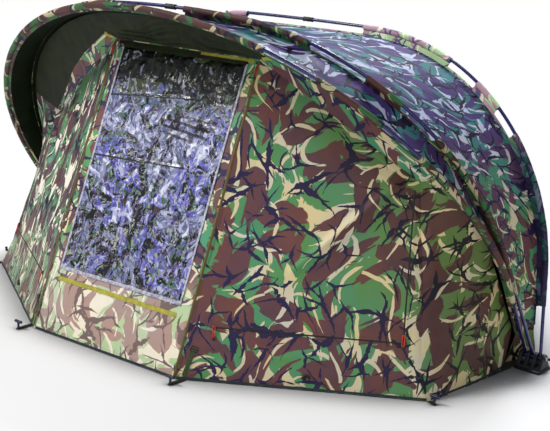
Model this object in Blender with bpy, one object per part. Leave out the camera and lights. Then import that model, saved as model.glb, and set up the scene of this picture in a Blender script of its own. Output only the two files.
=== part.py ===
# Pram hood bivvy tent: three bent ribs hinge on two ground hubs, and a canopy hangs under them.
# A zipped front bay stands under the hood, with a door in the middle and a zipped flap each side.
# Metres, +Z up, front towards -Y, origin on the ground midway between the hubs.

import math

import bmesh
import bpy
from mathutils import Matrix, Vector

# Clearances and fabric
GAP = 0.0003
SEAM = 0.0007
CLOTH = 0.0015
NET = 0.0010
HEM_LIFT = 0.0026
OVERRUN = 0.010

# Hubs and rib pivots
HUB_HALF_SPAN = 1.500
HUB_PITCH = 0.036
PIVOT_HEIGHT = 0.060
BOLT_RADIUS = 0.0050
BOLT_HEAD_RADIUS = 0.0090
BOLT_HEAD_LENGTH = 0.0060
NUT_LENGTH = 0.0080
EYE_RADIUS = 0.0150
SLOT_WIDTH = 0.0206
SLOT_FLOOR = 0.022
CHEEK_RADIUS = 0.022
CHEEK_FOOT_LENGTH = 0.100
HUB_PLATE_LENGTH = 0.124
HUB_PLATE_BORDER = 0.006
HUB_PLATE_THICKNESS = 0.010
HUB_PLATE_ROUND = 0.012
PEG_LUG_REACH = 0.024
PEG_LUG_RADIUS = 0.014

# Ribs: angle from the ground in front, lean of the leg inwards, straight leg, shoulder bend
POLE_RADIUS = 0.0080
POLE_SIDES = 8
BEND_COUNT = 16
LEAST_STEP = 0.001
FRONT_ANGLE = math.radians(51.2)
FRONT_LEAN = math.radians(-2.9)
FRONT_LEG = 0.497
FRONT_SHOULDER_RADIUS = 1.164
FRONT_SHOULDER_TURN = math.radians(35.6)
MID_ANGLE = math.radians(57.8)
MID_LEAN = math.radians(3.6)
MID_LEG = 0.632
MID_SHOULDER_RADIUS = 1.173
MID_SHOULDER_TURN = math.radians(81.5)
REAR_ANGLE = math.radians(95.6)
REAR_LEAN = math.radians(5.9)
REAR_LEG = 0.392
REAR_SHOULDER_RADIUS = 1.125
REAR_SHOULDER_TURN = math.radians(83.1)
JOINT_HALF_LENGTH = 0.030
JOINT_RADIUS = 0.0125
POLE_END_GAP = 0.0015

# Sleeves sewn over the ribs, and the webs that hold the canopy under them
SLEEVE_RADIUS = 0.0140
SLEEVE_CLOTH = 0.0012
WEB_THICKNESS = 0.0024
WEB_FOOT_HEIGHT = 0.009
FRONT_STANDOFF = 0.033
MID_STANDOFF = 0.045
REAR_STANDOFF = 0.045
# Sleeved stretches as shares of half a rib, from the crown to the right (positive) or left
FRONT_SLEEVE_SHARES = ((-0.86, -0.526), (-0.453, -0.336), (-0.246, -0.018),
                       (0.018, 0.246), (0.336, 0.453), (0.526, 0.86))
MID_SLEEVE_SHARES = ((-0.85, -0.524), (-0.449, -0.381), (-0.276, -0.134),
                     (0.029, 0.276), (0.381, 0.449), (0.524, 0.85))
REAR_SLEEVE_SHARES = ((-0.90, -0.562), (-0.501, -0.434), (-0.360, -0.164),
                      (0.143, 0.360), (0.434, 0.501), (0.562, 0.90))

# Canopy panels
CANOPY_START = 0.150
ROOF_SAG = 0.030
HOOD_SAG = 0.010
REAR_SAG = 0.020
ROOF_ROWS = 5
HOOD_ROWS = 3
REAR_ROWS = 4
REAR_CORNER_HALF = 0.850
REAR_REACH = 1.200
REAR_FOOT_SET_IN = 0.030
REAR_FOOT_REACH = 0.100
REAR_CORNER_SHARE = 0.36

# Front bay: door foot and corner on the ground, door top, shoulder point in the side panel
DOOR_FOOT_HALF = 0.442
DOOR_FOOT_REACH = 1.304
DOOR_TOP_HALF = 0.430
DOOR_TOP_REACH = 0.8165
DOOR_TOP_HEIGHT = 1.345
CORNER_SET_IN = 0.136
CORNER_REACH = 0.711
SHOULDER_ALONG = 0.985
SHOULDER_UP = 0.925
WING_FOOT_SET_IN = 0.100
WING_FOOT_REACH = 0.090
WING_BELLY_SET_IN = 0.095
WING_BELLY_REACH = 0.350
WING_EDGE_INSET = 0.075
WALL_START = 0.160
SHOULDER_SHARE = 0.585
HEADER_END_RISE = 0.020
WING_ROWS = 6
WING_COLUMNS = 4
HEADER_ROWS = 3

# Door furniture
DOOR_NET_HALF = 0.345
DOOR_NET_BOTTOM = 0.330
DOOR_NET_TOP = 1.360
WINDOW_HALF = 0.376
WINDOW_BOTTOM = 0.307
WINDOW_TOP = 1.412
WINDOW_SHEET = 0.0010
DOOR_TAPE_HEIGHT = 0.263
DOOR_TAPE_HALF = 0.365
DOOR_TAPE_WIDTH = 0.020

# Side flaps
FLAP_STRIP = 0.100
FLAP_BOTTOM = 0.235
FLAP_RIGHT = 0.965
FLAP_TOP_BORDER = 0.035
FLAP_CELLS = 8
FLAP_FLAT_BORDER = 0.004
FLAP_FOLD_HEIGHT = 0.016
FLAP_FOLD_WIDTH = 0.060
FLAP_BELLY = 0.006

# Zips
ZIP_TAPE_WIDTH = 0.028
ZIP_TAPE_THICKNESS = 0.0010
COIL_WIDTH = 0.0060
COIL_HEIGHT = 0.0022
ZIP_END_MARGIN = 0.012
SLIDER_LENGTH = 0.016
SLIDER_WIDTH = 0.011
SLIDER_HEIGHT = 0.005
PULL_LENGTH = 0.055
PULL_RADIUS = 0.0065
PULL_HOLE_RADIUS = 0.0040
PULL_THICKNESS = 0.0030
DOOR_SLIDER_DROP = 0.036
DOOR_HINGE_PROUD = 0.0012
FLAP_HINGE_PROUD = 0.0010
FLAP_SLIDER_MARGIN = 0.030

# Pegs, peg loops and straps
PEG_RADIUS = 0.0040
PEG_HEIGHT = 0.038
PEG_HEAD_HALF = 0.021
PEG_HEAD_RADIUS = 0.0045
DOOR_PEG_SIDE_STEP = 0.035
DOOR_PEG_STEP = 0.060
CORNER_PEG_STEP = 0.034
LOOP_WIDTH = 0.022
LOOP_THICKNESS = 0.0020
LOOP_LIFT = 0.0030
DOOR_LOOP_START = 0.0004
CORNER_LOOP_START = 0.0003
REAR_LOOP_START = 0.0012
STRAP_WIDTH = 0.020
STRAP_TOP_ALONG = 0.082
STRAP_TOP_UP = 0.145
STRAP_FOOT_ALONG = 0.044
STRAP_FOOT_UP = 0.018
BUCKLE_WIDTH = 0.030
BUCKLE_LENGTH = 0.022
BUCKLE_HEIGHT = 0.0050

GROUNDSHEET_THICKNESS = 0.0020
GROUNDSHEET_INSET = 0.004
HUB_CLEARANCE = 0.004

CORNER_OUT = HUB_HALF_SPAN - CORNER_SET_IN
WING_FOOT_OUT = HUB_HALF_SPAN - WING_FOOT_SET_IN
WING_BELLY_OUT = HUB_HALF_SPAN - WING_BELLY_SET_IN
REAR_FOOT_OUT = HUB_HALF_SPAN - REAR_FOOT_SET_IN
PIVOT = Vector((0.0, 0.0, PIVOT_HEIGHT))
ROUND_SIDES = 16
PEG_SIDES = 8
PULL_SIDES = 12


def clear_scene():
    for old in list(bpy.data.objects):
        bpy.data.objects.remove(old, do_unlink=True)


def material(name, colour, roughness, metallic=0.0):
    finish = bpy.data.materials.new(name)
    finish.use_nodes = True
    shader = finish.node_tree.nodes["Principled BSDF"]
    shader.inputs["Base Color"].default_value = (*colour, 1.0)
    shader.inputs["Roughness"].default_value = roughness
    shader.inputs["Metallic"].default_value = metallic
    return finish


CLOTH_GREEN = (0.20, 0.30, 0.13)
CLOTH_SAND = (0.60, 0.54, 0.33)
CLOTH_BROWN = (0.24, 0.12, 0.09)
LINING_GREEN = (0.030, 0.050, 0.022)
POLE_NAVY = (0.020, 0.025, 0.075)
HUB_BLACK = (0.020, 0.020, 0.022)
STEEL = (0.45, 0.45, 0.46)
ZIP_OLIVE = (0.16, 0.12, 0.03)
TAPE_YELLOW = (0.48, 0.44, 0.12)
PULL_RED = (0.70, 0.05, 0.03)
PEG_NAVY = (0.020, 0.030, 0.090)
CLEAR_SHEET = (0.70, 0.72, 0.90)
NET_DARK = (0.035, 0.045, 0.030)


def add_mesh(name, verts, faces, finish, smooth=False):
    mesh = bpy.data.meshes.new(name)
    mesh.from_pydata([tuple(v) for v in verts], [], faces)
    mesh.update()
    tidy = bmesh.new()
    tidy.from_mesh(mesh)
    bmesh.ops.recalc_face_normals(tidy, faces=tidy.faces[:])
    tidy.to_mesh(mesh)
    tidy.free()
    if smooth:
        mesh.shade_smooth()
        mesh.set_sharp_from_angle(angle=math.radians(40))
    mesh.materials.append(finish)
    piece = bpy.data.objects.new(name, mesh)
    bpy.context.scene.collection.objects.link(piece)
    return piece


def set_origin(piece, point):
    """Moves a piece's origin to its joint without moving the piece."""
    piece.data.transform(Matrix.Translation(-Vector(point)))
    piece.location = point
    return piece


def guide(piece):
    piece.hide_render = True
    piece.display_type = "WIRE"
    return piece


def combine(piece, tool, operation):
    step = piece.modifiers.new(operation.lower(), "BOOLEAN")
    step.operation = operation
    step.object = guide(tool)
    return piece


def thicken(piece, thickness):
    step = piece.modifiers.new("thickness", "SOLIDIFY")
    step.thickness = thickness
    step.offset = 0.0
    step.use_even_offset = True
    return piece


def sheet_grid(name, rows, finish, thickness=CLOTH):
    """A cloth panel: a grid of points on its middle surface, given its thickness."""
    width = len(rows[0])
    verts = [p for row in rows for p in row]
    faces = []
    for i in range(len(rows) - 1):
        for j in range(width - 1):
            a = i * width + j
            faces.append((a, a + 1, a + width + 1, a + width))
    return thicken(add_mesh(name, verts, faces, finish, smooth=True), thickness)


def prism(name, ring, step, finish, smooth=False):
    """A solid pushed from a flat ring of points along a vector."""
    count = len(ring)
    verts = list(ring) + [p + step for p in ring]
    faces = [tuple(range(count)), tuple(range(2 * count - 1, count - 1, -1))]
    faces += [(k, (k + 1) % count, (k + 1) % count + count, k + count) for k in range(count)]
    return add_mesh(name, verts, faces, finish, smooth)


def holed_prism(name, outer, inner, step, finish):
    """A flat plate with a hole: both rings have the same number of points."""
    count = len(outer)
    verts = list(outer) + list(inner) + [p + step for p in outer] + [p + step for p in inner]
    faces = []
    for k in range(count):
        n = (k + 1) % count
        faces.append((k, n, count + n, count + k))
        faces.append((2 * count + k, 2 * count + n, 3 * count + n, 3 * count + k))
        faces.append((k, n, 2 * count + n, 2 * count + k))
        faces.append((count + k, count + n, 3 * count + n, 3 * count + k))
    return add_mesh(name, verts, faces, finish)


def loft(name, rings, finish, closed_ends=True, smooth=True):
    """A skin through rings of points, capped at both ends."""
    count = len(rings[0])
    verts = [p for ring in rings for p in ring]
    faces = []
    for i in range(len(rings) - 1):
        for k in range(count):
            n = (k + 1) % count
            faces.append((i * count + k, i * count + n, (i + 1) * count + n, (i + 1) * count + k))
    if closed_ends:
        faces.append(tuple(range(count)))
        faces.append(tuple(range((len(rings) - 1) * count, len(rings) * count)))
    return add_mesh(name, verts, faces, finish, smooth)


def disc(centre, side, up, radius, sides, phase=0.0):
    points = []
    for k in range(sides):
        turn = phase + 2.0 * math.pi * k / sides
        points.append(centre + side * (radius * math.cos(turn)) + up * (radius * math.sin(turn)))
    return points


def rod(name, start, end, radius, sides, finish):
    axis = (end - start).normalized()
    side = axis.orthogonal().normalized()
    up = axis.cross(side)
    rings = [disc(start, side, up, radius, sides), disc(end, side, up, radius, sides)]
    return loft(name, rings, finish)


def mirror_x(point):
    return Vector((-point.x, point.y, point.z))


class Hoop:
    """A rib's centre line: straight leg, shoulder bend and crown bend, alike on both sides."""

    def __init__(self, angle, foot, lean, leg, shoulder, turn):
        self.foot = foot
        self.leg = leg
        self.shoulder = shoulder
        self.turn = turn
        self.start = math.pi / 2.0 + lean
        self.leg_x = foot + leg * math.cos(self.start)
        self.leg_r = leg * math.sin(self.start)
        self.bend_end = self.start + turn
        end_x = self.leg_x + shoulder * (math.sin(self.bend_end) - math.sin(self.start))
        end_r = self.leg_r + shoulder * (math.cos(self.start) - math.cos(self.bend_end))
        self.crown = end_x / math.sin(self.bend_end)
        self.crown_centre = end_r + self.crown * math.cos(self.bend_end)
        self.half = leg + shoulder * turn + self.crown * (math.pi - self.bend_end)
        self.out = Vector((0.0, -math.cos(angle), math.sin(angle)))
        self.ahead = Vector((0.0, -math.sin(angle), -math.cos(angle)))

        self.marks = []
        for k in range(BEND_COUNT + 1):
            heading = math.pi - (math.pi - self.start) * k / BEND_COUNT
            if heading <= self.bend_end:
                run = leg + (heading - self.start) * shoulder
            else:
                run = self.half - (math.pi - heading) * self.crown
            self.marks.append(1.0 - run / self.half)
        self.marks.append(1.0)

    def flat(self, run):
        """Half width, radius from the pivot line and heading at a run up from the foot."""
        if run < self.leg:
            heading = self.start
            return (self.foot + run * math.cos(heading), run * math.sin(heading), heading)
        bent = run - self.leg
        if bent < self.shoulder * self.turn:
            heading = self.start + bent / self.shoulder
            x = self.leg_x + self.shoulder * (math.sin(heading) - math.sin(self.start))
            r = self.leg_r + self.shoulder * (math.cos(self.start) - math.cos(heading))
            return (x, r, heading)
        heading = self.bend_end + (bent - self.shoulder * self.turn) / self.crown
        x = self.crown * math.sin(heading)
        return (x, self.crown_centre - self.crown * math.cos(heading), heading)

    def corner(self, share, inset, ahead):
        x, r, heading = self.flat(self.half * (1.0 - share))
        x -= inset * math.sin(heading)
        r += inset * math.cos(heading)
        return PIVOT + Vector((x, 0.0, 0.0)) + self.out * r + self.ahead * ahead

    def point(self, share, inset=0.0, ahead=0.0):
        """Share 0 is the crown, 1 the right foot and -1 the left foot. Straight between the marks."""
        reach = min(abs(share), 1.0)
        place = len(self.marks) - 2
        while self.marks[place] > reach:
            place -= 1
        low, high = self.marks[place], self.marks[place + 1]
        start = self.corner(low, inset, ahead)
        end = self.corner(high, inset, ahead)
        found = start + (end - start) * ((reach - low) / (high - low))
        return found if share >= 0.0 else Vector((-found.x, found.y, found.z))

    def share_at(self, run):
        return 1.0 - run / self.half

    def stations(self, low, high):
        """Shares along the rib where its rings stand: both ends and every mark between them."""
        least = LEAST_STEP / self.half
        inner = sorted({m for m in self.marks} | {-m for m in self.marks})
        return [low] + [m for m in inner if low + least < m < high - least] + [high]

    def ring(self, share, inset, radius, sides):
        """A ring square to the rib, with a flat turned to the canopy."""
        turns = [math.pi / sides + 2.0 * math.pi * k / sides for k in range(sides)]
        return [self.point(share, inset + radius * math.cos(t), radius * math.sin(t)) for t in turns]


FRONT = Hoop(FRONT_ANGLE, HUB_HALF_SPAN - HUB_PITCH, FRONT_LEAN, FRONT_LEG,
             FRONT_SHOULDER_RADIUS, FRONT_SHOULDER_TURN)
MID = Hoop(MID_ANGLE, HUB_HALF_SPAN, MID_LEAN, MID_LEG, MID_SHOULDER_RADIUS, MID_SHOULDER_TURN)
REAR = Hoop(REAR_ANGLE, HUB_HALF_SPAN + HUB_PITCH, REAR_LEAN, REAR_LEG,
            REAR_SHOULDER_RADIUS, REAR_SHOULDER_TURN)


def make_pole(name, hoop, side, finish):
    """Half a rib, with the eye that turns on the hub's bolt."""
    inner_share = POLE_END_GAP / hoop.half
    outer_share = hoop.share_at(EYE_RADIUS / 2.0)
    if side > 0:
        shares = hoop.stations(inner_share, outer_share)
    else:
        shares = hoop.stations(-outer_share, -inner_share)
    rings = [hoop.ring(s, 0.0, POLE_RADIUS, POLE_SIDES) for s in shares]
    pole = loft(name, rings, finish)
    eye_half = Vector((SLOT_WIDTH / 2.0 - GAP, 0.0, 0.0))
    centre = PIVOT + Vector((side * hoop.foot, 0.0, 0.0))
    eye = rod(name + "_eye", centre - eye_half, centre + eye_half, EYE_RADIUS, ROUND_SIDES, finish)
    overrun = Vector((OVERRUN, 0.0, 0.0))
    hole = rod(name + "_hole", centre - eye_half - overrun, centre + eye_half + overrun,
               BOLT_RADIUS + GAP, ROUND_SIDES, finish)
    combine(pole, eye, "UNION")
    return set_origin(combine(pole, hole, "DIFFERENCE"), centre)


def tube_rings(hoop, shares, inset, outer, inner):
    outside = [hoop.ring(s, inset, outer, POLE_SIDES) for s in shares]
    inside = [hoop.ring(s, inset, inner, POLE_SIDES) for s in shares]
    return outside, inside


def tube_faces(verts, faces, outside, inside):
    """Adds an open-ended tube to a list of points and faces."""
    base = len(verts)
    count = len(outside[0])
    rows = len(outside)
    for ring in outside + inside:
        verts.extend(ring)
    for i in range(rows - 1):
        for k in range(count):
            n = (k + 1) % count
            a = base + i * count
            b = base + (rows + i) * count
            faces.append((a + k, a + n, a + count + n, a + count + k))
            faces.append((b + n, b + k, b + count + k, b + count + n))
    for i, flip in ((0, True), (rows - 1, False)):
        for k in range(count):
            n = (k + 1) % count
            a = base + i * count
            b = base + (rows + i) * count
            face = (a + k, a + n, b + n, b + k)
            faces.append(face if flip else face[::-1])


def make_joint(name, hoop, finish):
    """The moulded joint that holds the two halves of a rib together at the crown."""
    reach = JOINT_HALF_LENGTH / hoop.half
    bore = POLE_RADIUS + GAP / math.cos(math.pi / POLE_SIDES)
    verts = []
    faces = []
    tube_faces(verts, faces, *tube_rings(hoop, [-reach, 0.0, reach], 0.0, JOINT_RADIUS, bore))
    return set_origin(add_mesh(name, verts, faces, finish, smooth=True), hoop.point(0.0))


def make_sleeve(name, hoop, standoff, stretches, finish):
    """The sewn web along the canopy, with a tube over the pole on each sleeved stretch."""
    flatness = math.cos(math.pi / POLE_SIDES)
    bore = SLEEVE_RADIUS - SLEEVE_CLOTH
    inset = flatness * (bore - POLE_RADIUS) - GAP
    verts = []
    faces = []
    for low, high in stretches:
        shares = hoop.stations(low, high)
        tube_faces(verts, faces, *tube_rings(hoop, shares, inset, SLEEVE_RADIUS, bore))
    tubes = add_mesh(name + "_tubes", verts, faces, finish, smooth=True)
    end = hoop.share_at(CANOPY_START)
    foot = standoff + CLOTH
    low_edge = standoff - WEB_FOOT_HEIGHT
    high_edge = inset + flatness * (SLEEVE_RADIUS + bore) / 2.0
    outline = [hoop.point(s, foot) for s in hoop.stations(-end, end)]
    marks = [(s, low_edge) for s in hoop.stations(-end, end)
             if not any(low <= s <= high for low, high in stretches)]
    for low, high in stretches:
        marks.append((low, low_edge))
        marks.append((high, low_edge))
        marks.extend((s, high_edge) for s in hoop.stations(low, high))
    outline += [hoop.point(s, inset_here) for s, inset_here in order_comb(marks, stretches, high_edge)]
    half = hoop.ahead * (WEB_THICKNESS / 2.0)
    web = prism(name, [p - half for p in outline], hoop.ahead * WEB_THICKNESS, finish)
    return set_origin(combine(web, tubes, "UNION"), hoop.point(0.0))


def order_comb(marks, stretches, high_edge):
    """Runs back along the web's upper edge, stepping up at each sleeve."""
    def rank(mark):
        share, edge = mark
        for low, high in stretches:
            if share == low:
                return (-share, 0 if edge == high_edge else 1)
            if share == high:
                return (-share, 1 if edge == high_edge else 0)
        return (-share, 0)
    return sorted(set(marks), key=rank)


def canopy_shares(hoop):
    end = hoop.share_at(CANOPY_START)
    right = [m for m in hoop.marks if m < end] + [end]
    return right[::-1] + [-m for m in right[1:]]


def canopy_edge(hoop, standoff, ahead_side):
    """The line where a canopy panel is sewn into a rib's web, on one side of it."""
    clear = WEB_THICKNESS / 2.0 + GAP + CLOTH / 2.0
    return [hoop.point(s, standoff, ahead_side * clear) for s in canopy_shares(hoop)]


def between(low, high, share):
    return low + (high - low) * share


def sagged_rows(edge_a, edge_b, count, sag):
    """Straight lines between two sewn edges, drawn in towards the middle of the span."""
    rows = []
    width = len(edge_a)
    for i in range(count + 1):
        v = i / count
        row = []
        for j in range(width):
            across = 1.0 - 2.0 * j / (width - 1)
            point = between(edge_a[j], edge_b[j], v)
            before = between(edge_a[max(j - 1, 0)], edge_b[max(j - 1, 0)], v)
            after = between(edge_a[min(j + 1, width - 1)], edge_b[min(j + 1, width - 1)], v)
            along = (after - before).normalized()
            normal = along.cross((edge_b[j] - edge_a[j]).normalized())
            if normal.dot(point - PIVOT) > 0.0:
                normal.negate()
            depth = sag * 4.0 * v * (1.0 - v) * (1.0 - across ** 4)
            row.append(point + normal.normalized() * depth)
        rows.append(row)
    return rows


def rear_ground_line():
    """Ground line of the back wall, one point for each canopy column."""
    foot = Vector((REAR_FOOT_OUT, REAR_FOOT_REACH, HEM_LIFT))
    corner = Vector((REAR_CORNER_HALF, REAR_REACH, HEM_LIFT))
    ways = [share / REAR.share_at(CANOPY_START) for share in canopy_shares(REAR)]
    turn = min((abs(w) for w in ways), key=lambda w: abs(w - REAR_CORNER_SHARE))
    line = []
    for w in ways:
        reach = abs(w)
        if reach > turn:
            point = between(corner, foot, (reach - turn) / (1.0 - turn))
        else:
            point = Vector((REAR_CORNER_HALF * reach / turn, REAR_REACH, HEM_LIFT))
        line.append(point if w >= 0.0 else mirror_x(point))
    return line


def make_canopy(camo):
    hood = sagged_rows(canopy_edge(MID, MID_STANDOFF, 1.0), canopy_edge(FRONT, FRONT_STANDOFF, -1.0),
                       HOOD_ROWS, HOOD_SAG)
    roof = sagged_rows(canopy_edge(REAR, REAR_STANDOFF, 1.0), canopy_edge(MID, MID_STANDOFF, -1.0),
                       ROOF_ROWS, ROOF_SAG)
    back = sagged_rows(canopy_edge(REAR, REAR_STANDOFF, -1.0), rear_ground_line(), REAR_ROWS, REAR_SAG)
    sheet_grid("hood_canopy", hood, camo)
    sheet_grid("roof_canopy", roof, camo)
    sheet_grid("rear_wall", back, camo)


class Plane:
    """A flat panel's own axes: along, up and out."""

    def __init__(self, origin, along_to, up_hint):
        self.origin = origin
        self.along = (along_to - origin).normalized()
        self.out = self.along.cross(up_hint - origin).normalized()
        self.up = self.out.cross(self.along)

    def place(self, along, up, out=0.0):
        return self.origin + self.along * along + self.up * up + self.out * out

    def read(self, point):
        step = point - self.origin
        return (step.dot(self.along), step.dot(self.up))


DOOR_FOOT = Vector((DOOR_FOOT_HALF, -DOOR_FOOT_REACH, 0.0))
DOOR_TOP = Vector((DOOR_TOP_HALF, -DOOR_TOP_REACH, DOOR_TOP_HEIGHT))
CORNER = Vector((CORNER_OUT, -CORNER_REACH, 0.0))
SIDE = Plane(DOOR_FOOT, CORNER, DOOR_TOP)
SHOULDER = SIDE.place(SHOULDER_ALONG, SHOULDER_UP)
DOOR = Plane(Vector((0.0, -DOOR_FOOT_REACH, 0.0)), DOOR_FOOT, Vector((0.0, -DOOR_TOP_REACH, DOOR_TOP_HEIGHT)))
DOOR_HEIGHT = DOOR.read(DOOR_TOP)[1]
TOP_ALONG, TOP_UP = SIDE.read(DOOR_TOP)
CORNER_ALONG = SIDE.read(CORNER)[0]
SIDE_HEM = HEM_LIFT / SIDE.up.z
DOOR_HEM = HEM_LIFT / DOOR.up.z


def shrink(corners, inset):
    """Moves each edge of a convex outline inwards, in the panel's own axes, anticlockwise."""
    count = len(corners)
    lines = []
    for k in range(count):
        x0, y0 = corners[k]
        x1, y1 = corners[(k + 1) % count]
        length = math.hypot(x1 - x0, y1 - y0)
        nx, ny = -(y1 - y0) / length, (x1 - x0) / length
        lines.append((nx, ny, nx * x0 + ny * y0 + inset))
    result = []
    for k in range(count):
        a0, b0, c0 = lines[k - 1]
        a1, b1, c1 = lines[k]
        det = a0 * b1 - a1 * b0
        result.append(((c0 * b1 - c1 * b0) / det, (a0 * c1 - a1 * c0) / det))
    return result


def flap_corners():
    """Lower hinge, lower zip, upper zip and upper hinge corners in the side panel's axes."""
    lean = TOP_ALONG / TOP_UP
    fall = (SHOULDER_UP - TOP_UP) / (SHOULDER_ALONG - TOP_ALONG)
    top_line = TOP_UP - FLAP_TOP_BORDER
    hinge_top = (top_line + fall * (FLAP_STRIP - TOP_ALONG)) / (1.0 - fall * lean)
    return [(FLAP_STRIP + lean * FLAP_BOTTOM, FLAP_BOTTOM), (FLAP_RIGHT, FLAP_BOTTOM),
            (FLAP_RIGHT, top_line + fall * (FLAP_RIGHT - TOP_ALONG)),
            (FLAP_STRIP + lean * hinge_top, hinge_top)]


FLAP = flap_corners()


def sided(point, side):
    return point if side > 0 else mirror_x(point)


def make_side_panel(name, side, camo):
    """The frame of the side panel: a strip by the door, a skirt below and a border above."""
    outer = shrink([(0.0, SIDE_HEM - SEAM), (CORNER_ALONG, SIDE_HEM - SEAM),
                    (SHOULDER_ALONG, SHOULDER_UP), (TOP_ALONG, TOP_UP)], SEAM)
    corners = outer + FLAP
    verts = [sided(SIDE.place(*c), side) for c in corners]
    faces = [(k, (k + 1) % 4, (k + 1) % 4 + 4, k + 4) for k in range(4)]
    return thicken(add_mesh(name, verts, faces, camo), CLOTH)


def flap_marks(length):
    """Shares across the flap, with a flat border under the zip tapes and the free cloth inside it."""
    border = (ZIP_TAPE_WIDTH / 2.0 + FLAP_FLAT_BORDER) / length
    marks = [(0.0, 0.0)]
    for k in range(FLAP_CELLS + 1):
        free = k / FLAP_CELLS
        marks.append((border + (1.0 - 2.0 * border) * free, free))
    marks.append((1.0, 0.0))
    return marks


def make_flap(name, side, camo):
    """A taut flap with the long fold that runs down from its upper zip corner."""
    low_in, low_out, high_out, high_in = shrink(FLAP, SEAM)
    low_in, low_out, high_out, high_in = (Vector(c) for c in (low_in, low_out, high_out, high_in))
    fold_axis = (low_in - high_out).normalized()
    across = flap_marks((low_out - low_in).length)
    upwards = flap_marks((high_in - low_in).length)
    rows = []
    for v, v_free in upwards:
        row = []
        for u, u_free in across:
            place = between(between(low_in, low_out, u), between(high_in, high_out, u), v)
            edge = 16.0 * u_free * (1.0 - u_free) * v_free * (1.0 - v_free)
            step = place - high_out
            off = step.x * fold_axis.y - step.y * fold_axis.x
            ridge = FLAP_FOLD_HEIGHT / (1.0 + (off / FLAP_FOLD_WIDTH) ** 2)
            row.append(sided(SIDE.place(place.x, place.y, (ridge + FLAP_BELLY) * edge), side))
        rows.append(row)
    hinge = sided(SIDE.place(*FLAP[0], FLAP_HINGE_PROUD), side)
    return set_origin(sheet_grid(name, rows, camo), hinge)


def wall_edge(share):
    """The front wall's line under the mid rib: close to the web at the crown, clear of the hood low down."""
    near = MID_STANDOFF + CLOTH + GAP
    blend = min(abs(share) / SHOULDER_SHARE, 1.0)
    return MID.point(share, between(near, WING_EDGE_INSET, blend))


def make_wing(name, side, camo):
    """The side of the bay, from the corner zip back to the hub."""
    foot = Vector((WING_FOOT_OUT, -WING_FOOT_REACH, HEM_LIFT))
    belly = Vector((WING_BELLY_OUT, -WING_BELLY_REACH, HEM_LIFT))
    top_share = SHOULDER_SHARE
    start_share = MID.share_at(WALL_START)
    corner_up = HEM_LIFT / SHOULDER.z
    rows = []
    for i in range(WING_ROWS + 1):
        v = i / WING_ROWS
        left = between(CORNER, SHOULDER, between(corner_up, 1.0, v))
        if i == 0:
            right = foot
        else:
            climb = (i - 1) / (WING_ROWS - 1)
            right = wall_edge(between(start_share, top_share, climb))
        row = []
        for j in range(WING_COLUMNS + 1):
            u = j / WING_COLUMNS
            chord = between(left, right, u)
            ground = between(CORNER, foot, u)
            bow = (belly - between(CORNER, foot, 0.5)) * (4.0 * u * (1.0 - u) * (1.0 - v) ** 2)
            bow.z = 0.0
            point = chord + bow
            if i == 0:
                point.z = HEM_LIFT
            row.append(point)
            del ground
        seam_step = (row[1] - row[0]).normalized() * SEAM
        row[0] = row[0] + seam_step
        rows.append(row)
    rows[-1] = [p + (q - p).normalized() * SEAM for p, q in zip(rows[-1], rows[-2])]
    return sheet_grid(name, [[sided(p, side) for p in row] for row in rows], camo)


def make_header(lining):
    """The panel above the door and flaps, sewn up under the mid rib."""
    top_share = SHOULDER_SHARE - HEADER_END_RISE / MID.half
    tops = MID.stations(-top_share, top_share)[::-1]
    wall_point = wall_edge(SHOULDER_SHARE)
    line = [wall_point, SHOULDER, DOOR_TOP, mirror_x(DOOR_TOP), mirror_x(SHOULDER), mirror_x(wall_point)]
    runs = [0.0]
    for k in range(len(line) - 1):
        runs.append(runs[-1] + (line[k + 1] - line[k]).length)
    places = [round(r / runs[-1] * (len(tops) - 1)) for r in runs]
    places[1] = max(places[1], 1)
    places[4] = len(tops) - 1 - places[1]
    lower = []
    for k in range(len(line) - 1):
        count = places[k + 1] - places[k]
        lower += [between(line[k], line[k + 1], i / count) for i in range(count)]
    lower.append(line[-1])
    rows = []
    for i in range(HEADER_ROWS + 1):
        row = []
        for low, share in zip(lower, tops):
            top = wall_edge(share)
            foot = low + (top - low).normalized() * SEAM
            row.append(between(foot, top, i / HEADER_ROWS))
        rows.append(row)
    return sheet_grid("header_panel", rows, lining)


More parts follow.
